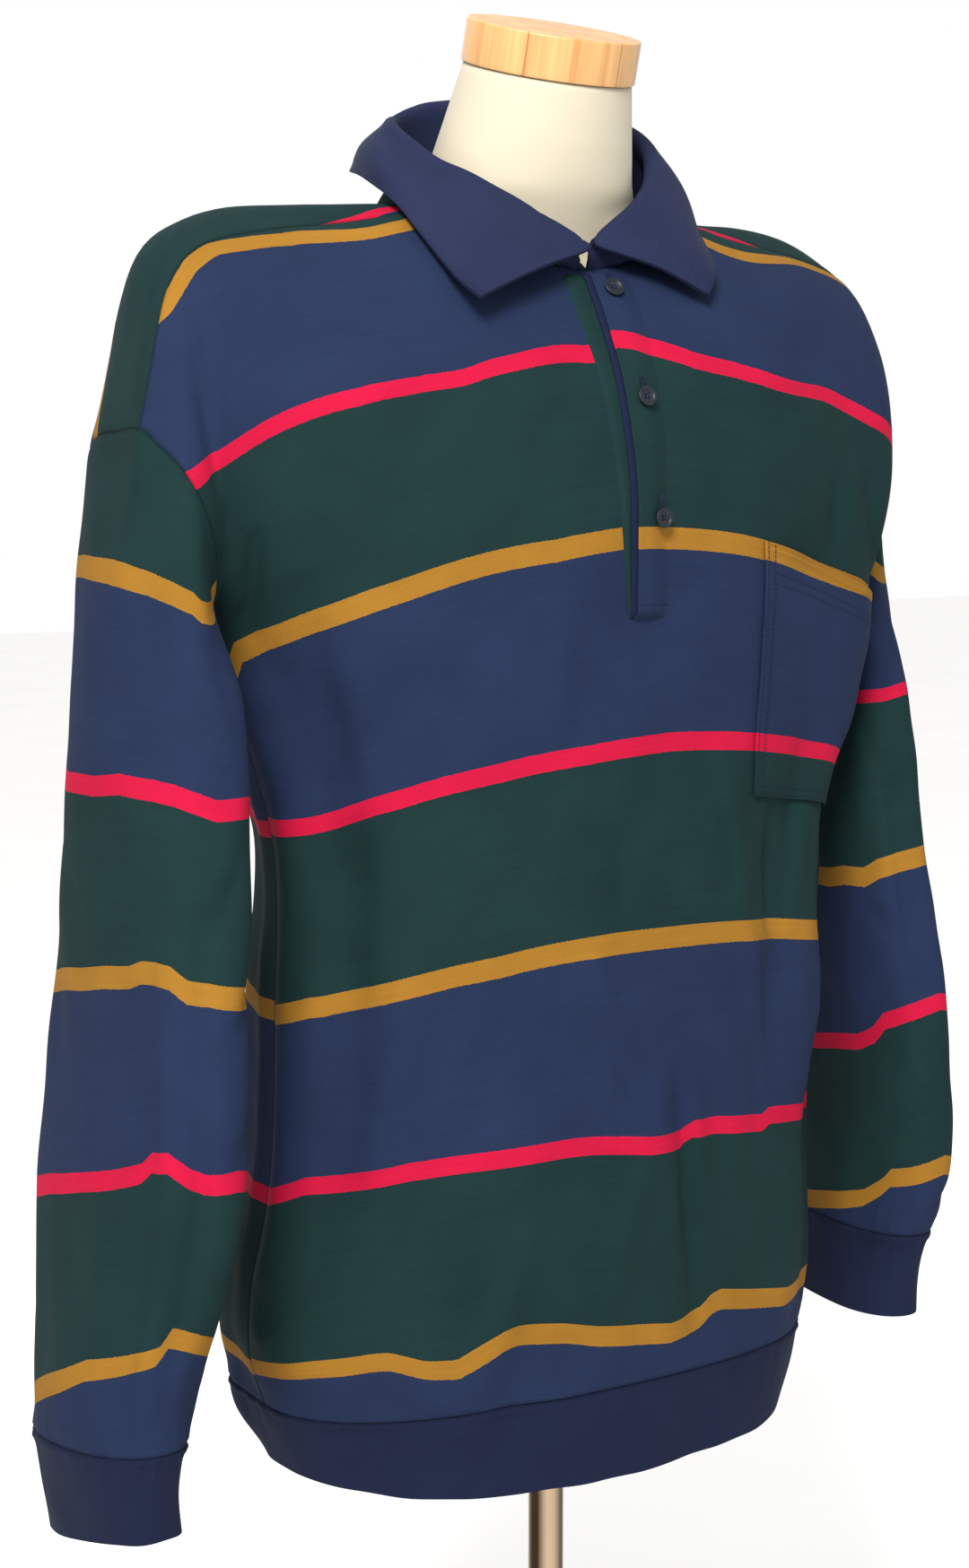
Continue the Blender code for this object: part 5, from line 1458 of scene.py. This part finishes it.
# %% The stitch tree
def stitch_tree():
    tree = bpy.data.node_groups.new("stitches", "GeometryNodeTree")
    tree.interface.new_socket("Geometry", in_out="INPUT", socket_type="NodeSocketGeometry")
    for name, value in (("Stitch length", 0.0024), ("Thread radius", 0.00022)):
        socket = tree.interface.new_socket(name, in_out="INPUT", socket_type="NodeSocketFloat")
        socket.default_value = value
    tree.interface.new_socket("Thread", in_out="INPUT", socket_type="NodeSocketMaterial")
    tree.interface.new_socket("Geometry", in_out="OUTPUT", socket_type="NodeSocketGeometry")
    given = add(tree, "NodeGroupInput").outputs
    bead = add(tree, "GeometryNodeMeshUVSphere", {"Segments": 6, "Rings": 5, "Radius": 1.0})
    half = solved(tree, "MULTIPLY", given["Stitch length"], 0.5)
    size = add(tree, "ShaderNodeCombineXYZ", {0: half, 1: given["Thread radius"], 2: given["Thread radius"]})
    way = add(tree, "GeometryNodeInputNamedAttribute", {"data_type": "FLOAT_VECTOR", "Name": "way"})
    turn = add(tree, "FunctionNodeAlignRotationToVector", {"axis": "X", "Vector": way.outputs["Attribute"]})
    laid = add(tree, "GeometryNodeInstanceOnPoints",
               {"Points": given["Geometry"], "Instance": bead.outputs["Mesh"],
                "Rotation": turn.outputs["Rotation"], "Scale": size.outputs["Vector"]})
    real = add(tree, "GeometryNodeRealizeInstances", {"Geometry": laid.outputs["Instances"]})
    dyed = add(tree, "GeometryNodeSetMaterial", {"Geometry": real.outputs["Geometry"],
                                                 "Material": given["Thread"]})
    add(tree, "NodeGroupOutput", {"Geometry": dyed.outputs["Geometry"]})
    return tree


STITCHES = stitch_tree()


def stitched(name, runs, length, radius):
    """One piece of all the stitches in runs: (points, directions) pairs, one stitch each."""
    points, ways = (np.concatenate(parts) for parts in zip(*runs))
    mesh = new_mesh(name, points.tolist(), [], smooth=False)
    add_mark(mesh, "way", "FLOAT_VECTOR", ways)
    seed = placed(f"{name}_points", mesh)
    made = seed.modifiers.new("stitches", "NODES")
    made.node_group = STITCHES
    keys = {item.name: item.identifier for item in STITCHES.interface.items_tree if item.in_out == "INPUT"}
    for key, value in (("Stitch length", length), ("Thread radius", radius), ("Thread", NAVY_THREAD)):
        made[keys[key]] = value
    result = baked_mesh(seed)
    bpy.data.objects.remove(seed, do_unlink=True)
    result.shade_smooth()
    print(f"{name}: {len(points)} stitches")
    return placed(name, result)


def running(path):
    """Stitches end to end along a path of points."""
    length = length_to(path)
    at = np.arange(STITCH_PITCH / 2, length[-1], STITCH_PITCH)
    spots = np.stack([np.interp(at, length, path[:, axis]) for axis in range(3)], axis=1)
    return spots, np.gradient(spots, axis=0)


# %% [markdown]
# Thread is twisted polyester, a shade darker than the cloth, with a slight shine.

# %% Thread
NAVY_THREAD, tree, shader = new_finish("navy_polyester_thread", {"Roughness": 0.6, "Specular IOR Level": 0.10})
twist = noise(tree, object_place(tree), 1800.0, 2.0)
coloured(tree, shader, mixed(tree, twist, "#101628", "#1d2640"))
bumped(tree, shader, twist, 0.4, 0.0001)

# %% Stitch lines
STITCH_PITCH = 0.0029
STITCH_LENGTH = 0.0024
STITCH_LIFT = 0.0002
POCKET_INSETS = (0.0018, 0.0068)      # metres in from the pocket's edge
POCKET_HEM_V = (0.5185, 0.5125)       # the two rows across its doubled top
PLACKET_BOX_V = (0.4885, 0.4960)


def stitch_line(grid, s_grid, rows, low, high, lift):
    """Stitches over a patch: along rows of its grid, from low to high, in metres from its low side."""
    spots = []
    for row in rows:
        widths = (s_grid[row] - s_grid[row, 0]) * QUARTER
        for place in np.linspace(low, high, 1 if low == high else 60):
            spots.append([np.interp(place, widths, grid[row, :, axis]) for axis in range(3)])
    return running(np.array(spots) + lift)


def patch_normal(grid):
    """Middle outward direction of a patch."""
    normal = outward(grid, False).reshape(-1, 3).mean(axis=0)
    return normal / np.linalg.norm(normal)


def row_at(v_rows, v):
    return int(np.argmin(np.abs(v_rows - v)))


pocket_up = patch_normal(pocket_fine) * STITCH_LIFT
pocket_width = float((pocket_s[0, -1] - pocket_s[0, 0]) * QUARTER)
runs = []
for inset in POCKET_INSETS:
    low_row = row_at(pocket_rows, POCKET_LOW_V + inset)
    upright, far = range(low_row, len(pocket_rows)), pocket_width - inset
    for rows, low, high in ((upright, inset, inset), (upright, far, far), ([low_row], inset, far)):
        runs.append(stitch_line(pocket_fine, pocket_s, rows, low, high, pocket_up))
for v in POCKET_HEM_V:
    runs.append(stitch_line(pocket_fine, pocket_s, [row_at(pocket_rows, v)], POCKET_INSETS[1],
                            pocket_width - POCKET_INSETS[0], pocket_up))
POCKET_STITCHES = stitched("pocket_stitches", runs, STITCH_LENGTH, 0.00028)

placket_up = patch_normal(overlap_grid) * STITCH_LIFT
box_width = (OVERLAP_END + 0.004) * QUARTER
runs = [stitch_line(overlap_grid, overlap_s, [row_at(placket_rows, v)], 0.0015, box_width - 0.001, placket_up)
        for v in PLACKET_BOX_V]
PLACKET_STITCHES = stitched("placket_stitches", runs, STITCH_LENGTH, 0.00026)

# %% [markdown]
# ## Buttons
# Four-hole buttons of dark polyester made to look like horn: a raised rim, a dished middle, and thread
# crossed through the holes. The profile is turned, and the holes are cut through it.

# %% Button finish
BUTTON_RADIUS = 0.00575
BUTTON_THICK = 0.0026
BUTTONS = (("button_top", 0.034, 0.6690), ("button_middle", 0.040, 0.6060), ("button_bottom", 0.060, 0.5430))
BUTTON_LIFT = 2.6 * LAYER + 0.0007
button_finish, tree, shader = new_finish("dark_polyester_horn", {"Roughness": 0.42, "Specular IOR Level": 0.22})
swirl = noise(tree, object_place(tree), 260.0, 4.0, Distortion=1.5)
coloured(tree, shader, mixed(tree, swirl, "#0a0d12", "#182029"))
bumped(tree, shader, swirl, 0.15, 0.0001)


# %% Turned pieces
def turned_mesh(name, outline, sides, matrix, finish):
    """A closed solid turned about its own Z from (radius, height) points, top middle first."""
    rings = [(r, z) for r, z in outline if r > 0]
    points = [(0.0, 0.0, outline[0][1])]
    for r, z in rings:
        points += [(r * math.cos(2 * math.pi * k / sides), r * math.sin(2 * math.pi * k / sides), z)
                   for k in range(sides)]
    points.append((0.0, 0.0, outline[-1][1]))
    faces = [(0, 1 + k, 1 + (k + 1) % sides) for k in range(sides)]
    for ring in range(len(rings) - 1):
        first, second = 1 + ring * sides, 1 + (ring + 1) * sides
        for k in range(sides):
            after = (k + 1) % sides
            faces.append((first + k, second + k, second + after, first + after))
    last = 1 + (len(rings) - 1) * sides
    faces += [(len(points) - 1, last + (k + 1) % sides, last + k) for k in range(sides)]
    return placed(name, new_mesh(name, [tuple(matrix @ Vector(p)) for p in points], faces, finish))


def rounded(points, radius, steps=5):
    """An outline with its inner corners rounded by radius."""
    out = [points[0]]
    for before, corner, after in zip(points, points[1:], points[2:]):
        ways = [np.subtract(before, corner), np.subtract(after, corner)]
        cuts = [min(radius, 0.45 * np.linalg.norm(way)) for way in ways]
        ends = [np.array(corner) + way / np.linalg.norm(way) * cut for way, cut in zip(ways, cuts)]
        for step in range(steps + 1):
            f = step / steps
            out.append(tuple((1 - f) ** 2 * ends[0] + 2 * f * (1 - f) * np.array(corner) + f * f * ends[1]))
    return out + [points[-1]]


# %% Buttons
HOLE_RADIUS = 0.0007
HOLE_PLACE = 0.00125
BUTTON_PIECES = {}
# the profile, in shares of radius and thickness
BUTTON_PROFILE = ((0.0, 0.62), (0.62, 0.62), (0.76, 0.98), (0.97, 0.96), (1.0, 0.5), (0.78, 0.04), (0.0, 0.0))
button_outline = rounded([(r * BUTTON_RADIUS, z * BUTTON_THICK) for r, z in BUTTON_PROFILE], 0.0008)
for name, s, v in BUTTONS:
    spots = on_front(np.linspace(s - 0.02, s + 0.02, 5), np.linspace(v - 0.005, v + 0.005, 5), 0.0)
    normal = Vector(patch_normal(spots))
    base = Vector(spots[2, 2]) + normal * BUTTON_LIFT
    matrix = Matrix.Translation(base) @ normal.to_track_quat("Z", "Y").to_matrix().to_4x4()
    piece = turned_mesh(f"{name}_turned", button_outline, 56, matrix, button_finish)
    for turn in range(4):
        angle = math.radians(45 + 90 * turn)
        spot = (HOLE_PLACE * math.cos(angle), HOLE_PLACE * math.sin(angle), -0.002)
        cutter = turned_mesh("drill", [(0.0, 0.007), (HOLE_RADIUS, 0.007), (HOLE_RADIUS, 0.0), (0.0, 0.0)], 14,
                             matrix @ Matrix.Translation(spot), button_finish)
        cut = piece.modifiers.new("hole", "BOOLEAN")
        cut.operation = "DIFFERENCE"
        cut.object = cutter
        bored = baked_mesh(piece)
        piece.modifiers.clear()
        piece.data = bored
        bpy.data.objects.remove(cutter, do_unlink=True)
    BUTTON_PIECES[name] = (piece, matrix)
    print(name, "faces", len(piece.data.polygons))

# %% Button thread and buttonholes
STRANDS = (-0.00025, 0.0, 0.00025)        # the three strands of a cross's arm, side by side
runs = []
for _, matrix in BUTTON_PIECES.values():
    turn = matrix.to_3x3()
    for sign in (-1.0, 1.0):
        for strand in STRANDS:
            way = np.array(turn @ Vector((1.0, sign, 0.0)).normalized())
            aside = np.array(turn @ Vector((-sign, 1.0, 0.0)).normalized()) * strand
            spot = np.array(matrix @ Vector((0.0, 0.0, 0.66 * BUTTON_THICK))) + aside
            runs.append((spot[None], way[None]))
BUTTON_THREAD = stitched("button_thread", runs, 2.9 * HOLE_PLACE, 0.00018)

SLOT_HALF_WIDTH = 0.00126 / QUARTER       # of a buttonhole's ring of stitches, as a place across
SLOT_HALF_LENGTH = 0.0075
SLOT_RISE = 0.0045                        # its middle above its button's
SLOT_STITCHES = 60
runs = []
for _, s, v in BUTTONS:
    for step in range(SLOT_STITCHES):
        angle = 2 * math.pi * step / SLOT_STITCHES
        s_here = s + SLOT_HALF_WIDTH * math.cos(angle)
        v_here = v + SLOT_RISE + SLOT_HALF_LENGTH * math.sin(angle)
        spots = on_front(np.linspace(s_here - 0.01, s_here + 0.01, 3),
                         np.linspace(v_here - 0.003, v_here + 0.003, 3), 3 * LAYER + STITCH_LIFT)
        runs.append((spots[1, 1][None], unit(spots[1, 2] - spots[1, 0])[None]))
BUTTONHOLES = stitched("buttonhole_stitches", runs, 0.0016, 0.00024)

# %% [markdown]
# ## The form and its stand
# The form is a hard torso under a taut cream cover. Only its neck shows in the photograph, but it is
# whole, so that it looks right from below and behind. Its cap is glued up from blocks of pale wood whose
# grain stands upright on the edge, and oiled. The pole and base are nickel-plated steel.

# %% Form
FORM_SIDES = 112
CAP_SEAT = 0.0004             # from the neck's top to the cap's underside
NECK_BLEND = 0.05             # over this much more half width the round neck squares up to the torso
form_rows = np.array(FORM_ROWS)
fine_rows = np.concatenate([np.linspace(0, 1, 5), np.linspace(1, len(form_rows) - 1, 118)[1:]])
cap_matrix = Matrix.Translation(CAP_BOTTOM) @ Matrix.Rotation(NECK_LEAN, 4, "X")
angles = 2 * math.pi * np.arange(FORM_SIDES) / FORM_SIDES
rings = []
for z, half_width, y_front, y_back in along(form_rows, fine_rows):
    power = 2.0 + (FORM_POWER - 2.0) * float(blend_in(np.array(half_width - NECK_HALF_WIDTH), NECK_BLEND))
    x = half_width * signed_power(np.cos(angles), 2 / power)
    y = 0.5 * (y_front + y_back) + 0.5 * (y_back - y_front) * signed_power(np.sin(angles), 2 / power)
    rings.append(np.stack([x, y, np.full(FORM_SIDES, z)], axis=1))
top_ring = [(NECK_RADIUS * math.cos(angle), NECK_RADIUS * math.sin(angle), -CAP_SEAT) for angle in angles]
top_ring = np.array([tuple(cap_matrix @ Vector(point)) for point in top_ring])
last = rings[-1]
rings += [(1 - f) * last + f * top_ring for f in np.arange(1, 11) / 10]
rings = np.array(rings)
index = np.arange(len(rings) * FORM_SIDES).reshape(len(rings), FORM_SIDES)
beside = np.roll(index, -1, axis=1)
faces = np.stack([index[:-1], beside[:-1], beside[1:], index[1:]], axis=-1).reshape(-1, 4).tolist()
points = rings.reshape(-1, 3).tolist() + [rings[0].mean(axis=0).tolist(), rings[-1].mean(axis=0).tolist()]
count = len(points)
faces += [(count - 2, int(beside[0, k]), int(index[0, k])) for k in range(FORM_SIDES)]
faces += [(count - 1, int(index[-1, k]), int(beside[-1, k])) for k in range(FORM_SIDES)]

form_finish, tree, shader = new_finish("cream_cotton_cover", {"Roughness": 0.8, "Sheen Weight": 0.1,
                                                              "Specular IOR Level": 0.3})
place = object_place(tree)
coloured(tree, shader, mixed(tree, noise(tree, place, 9.0, 4.0), "#a39c8b", "#aba593"))
bumped(tree, shader, noise(tree, place, 1400.0, 2.0), 0.12, 0.00015)
FORM = placed("form_cover", new_mesh("form_cover", points, faces, form_finish))
print("form cover faces", len(FORM.data.polygons))

# %% Cap
BLOCK = 0.052                 # width of a glued block
BLOCK_START = 0.0143
wood_finish, tree, shader = new_finish("oiled_pine_blocks", {"Roughness": 0.42, "Coat Weight": 0.15,
                                                             "Coat Roughness": 0.35})
level_place = stretched(tree, object_place(tree), vector_type="TEXTURE", Location=CAP_BOTTOM,
                        Rotation=(NECK_LEAN, 0.0, 0.0))
split = add(tree, "ShaderNodeSeparateXYZ", {"Vector": level_place})
blocks = solved(tree, "DIVIDE", solved(tree, "SUBTRACT", split.outputs["X"], BLOCK_START), BLOCK)
glue = solved(tree, "LESS_THAN", solved(tree, "PINGPONG", blocks, 0.5), 0.008)
grain = noise(tree, stretched(tree, level_place, Scale=(420.0, 420.0, 16.0)), 1.0, 3.0, Roughness=0.6)
year = noise(tree, stretched(tree, level_place, Scale=(95.0, 95.0, 3.0)), 1.0, 2.0, Distortion=0.6)
tone = add(tree, "ShaderNodeValToRGB", {"Fac": solved(tree, "MULTIPLY_ADD", grain, 0.45, year)})
for element, position, colour in zip(tone.color_ramp.elements, (0.46, 0.92), ("#9c6c38", "#bb935f")):
    element.position = position
    element.color = linear(colour)
block_tone = mixed(tree, solved(tree, "FLOOR", blocks), tone.outputs["Color"], "#f0d8bc", "MULTIPLY")
coloured(tree, shader, mixed(tree, glue, block_tone, "#8f5f33"))
bumped(tree, shader, grain, 0.15, 0.0002)
cap_outline = rounded([(0.0, CAP_HEIGHT), (CAP_RADIUS, CAP_HEIGHT), (CAP_RADIUS, 0.0), (0.0, 0.0)], 0.0012)
CAP = turned_mesh("wood_cap", cap_outline, 160, cap_matrix, wood_finish)

# %% Pole and base
# painted reflection: a white room leaves polished metal without tones, so dark and light reflection tones are
# painted into the nickel's colour, going round with the bearing
nickel_finish, tree, shader = new_finish("nickel_plated_steel", {"Metallic": 1.0, "Roughness": 0.22})
place = object_place(tree)
feed(tree, shader.inputs["Roughness"], ranged(tree, noise(tree, place, 30.0, 4.0), 0.0, 1.0, 0.14, 0.32))
split = add(tree, "ShaderNodeSeparateXYZ", {"Vector": place})
bearing = solved(tree, "ARCTAN2", split.outputs["Y"], split.outputs["X"])
painted_reflection_wave = solved(tree, "SINE", solved(tree, "MULTIPLY_ADD", bearing, 3.0, 0.9))
coloured(tree, shader, mixed(tree, ranged(tree, painted_reflection_wave, -0.7, 0.9, 0.0, 1.0), "#2e2218", "#a08d76"))
POLE_LOW = BASE_THICK + 0.0003
POLE_TOP = 0.4296
SOCKET_TOP = POLE_LOW + SOCKET_HEIGHT
pole_outline = rounded([(0.0, POLE_TOP), (POLE_RADIUS, POLE_TOP), (POLE_RADIUS, SOCKET_TOP + 0.002),
                        (POLE_RADIUS + 0.003, SOCKET_TOP), (SOCKET_RADIUS, SOCKET_TOP - 0.004),
                        (SOCKET_RADIUS, POLE_LOW), (0.0, POLE_LOW)], 0.0015)
POLE = turned_mesh("nickel_pole", pole_outline, 72, Matrix.Identity(4), nickel_finish)
base_outline = rounded([(0.0, BASE_THICK), (BASE_RADIUS, BASE_THICK), (BASE_RADIUS, 0.0), (0.0, 0.0)], 0.003)
BASE = turned_mesh("nickel_base", base_outline, 192, Matrix.Identity(4), nickel_finish)
print("stand made")

# %% [markdown]
# ## What stands for what
# Every piece rides on the one body and takes the place of its solid. The tables below also give each piece's
# finish in the record and the size each sheet of cloth was cut to, though only the sheets' areas are printed.


# %% Ride and replace
def area_of(piece):
    """Half the area of a shell's two faces, in square metres."""
    graph = bpy.context.evaluated_depsgraph_get()
    mesh = piece.evaluated_get(graph).to_mesh()
    total = sum(face.area for face in mesh.polygons)
    piece.evaluated_get(graph).to_mesh_clear()
    return total / 2


PIECES = (
    (FRONT, ("front_panel",), "striped_jersey"),
    (BACK, ("back_panel",), "striped_jersey"),
    (HEM, ("hem_band",), "navy_jersey"),
    (SLEEVES["right"], ("sleeve_right",), "striped_jersey"),
    (SLEEVES["left"], ("sleeve_left",), "striped_jersey"),
    (CUFFS["right"], ("cuff_right",), "navy_jersey"),
    (CUFFS["left"], ("cuff_left",), "navy_jersey"),
    (COLLAR, ("collar",), "navy_jersey"),
    (UNDERLAP, ("placket_underlap",), "green_jersey"),
    (FACING, ("placket_facing",), "navy_jersey"),
    (OVERLAP, ("placket_overlap",), "striped_jersey"),
    (POCKET, ("chest_pocket",), "striped_jersey"),
    (POCKET_STITCHES, (), "navy_jersey"),
    (PLACKET_STITCHES, (), "navy_jersey"),
    (BUTTONHOLES, (), "navy_jersey"),
    (BUTTON_THREAD, (), "navy_jersey"),
    (BUTTON_PIECES["button_top"][0], ("button_top",), "dark_button"),
    (BUTTON_PIECES["button_middle"][0], ("button_middle",), "dark_button"),
    (BUTTON_PIECES["button_bottom"][0], ("button_bottom",), "dark_button"),
    (FORM, ("form_torso",), "cream_form_cover"),
    (CAP, ("neck_cap",), "pine_cap"),
    (POLE, ("stand_pole",), "nickel_stand"),
    (BASE, ("stand_base",), "nickel_stand"),
)
for piece, nodes, slot_name in PIECES:
    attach(piece, "root")
    if nodes:
        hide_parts(*nodes)
# the cut of what shows: (piece, width and length as cut, its flat area, how it is held, what it is on)
SHEETS = (
    (FRONT, (0.470, 0.770), 0.335, "hung", (FORM,)),
    (BACK, (0.470, 0.880), 0.374, "hung", (FORM,)),
    (HEM, (0.910, 0.054), 0.047, "gathered", (FRONT, BACK)),
    (SLEEVES["right"], (0.460, 0.520), 0.172, "hung", (FRONT, BACK)),
    (SLEEVES["left"], (0.460, 0.520), 0.156, "hung", (FRONT, BACK)),
    (CUFFS["right"], (0.300, 0.058), 0.0165, "gathered", (SLEEVES["right"],)),
    (CUFFS["left"], (0.280, 0.058), 0.0150, "gathered", (SLEEVES["left"],)),
    (COLLAR, (0.500, 0.120), 0.049, "folded", (FRONT, BACK)),
    (UNDERLAP, (0.030, 0.200), 0.0038, "laid", (FRONT,)),
    (FACING, (0.0125, 0.200), 0.0021, "laid", (UNDERLAP,)),
    (OVERLAP, (0.036, 0.200), 0.0067, "laid", (FRONT,)),
    (POCKET, (0.134, 0.150), 0.0185, "laid", (FRONT,)),
)
for piece, cut, flat_area, held, on in SHEETS:
    print(piece.name, "area", round(area_of(piece), 4))
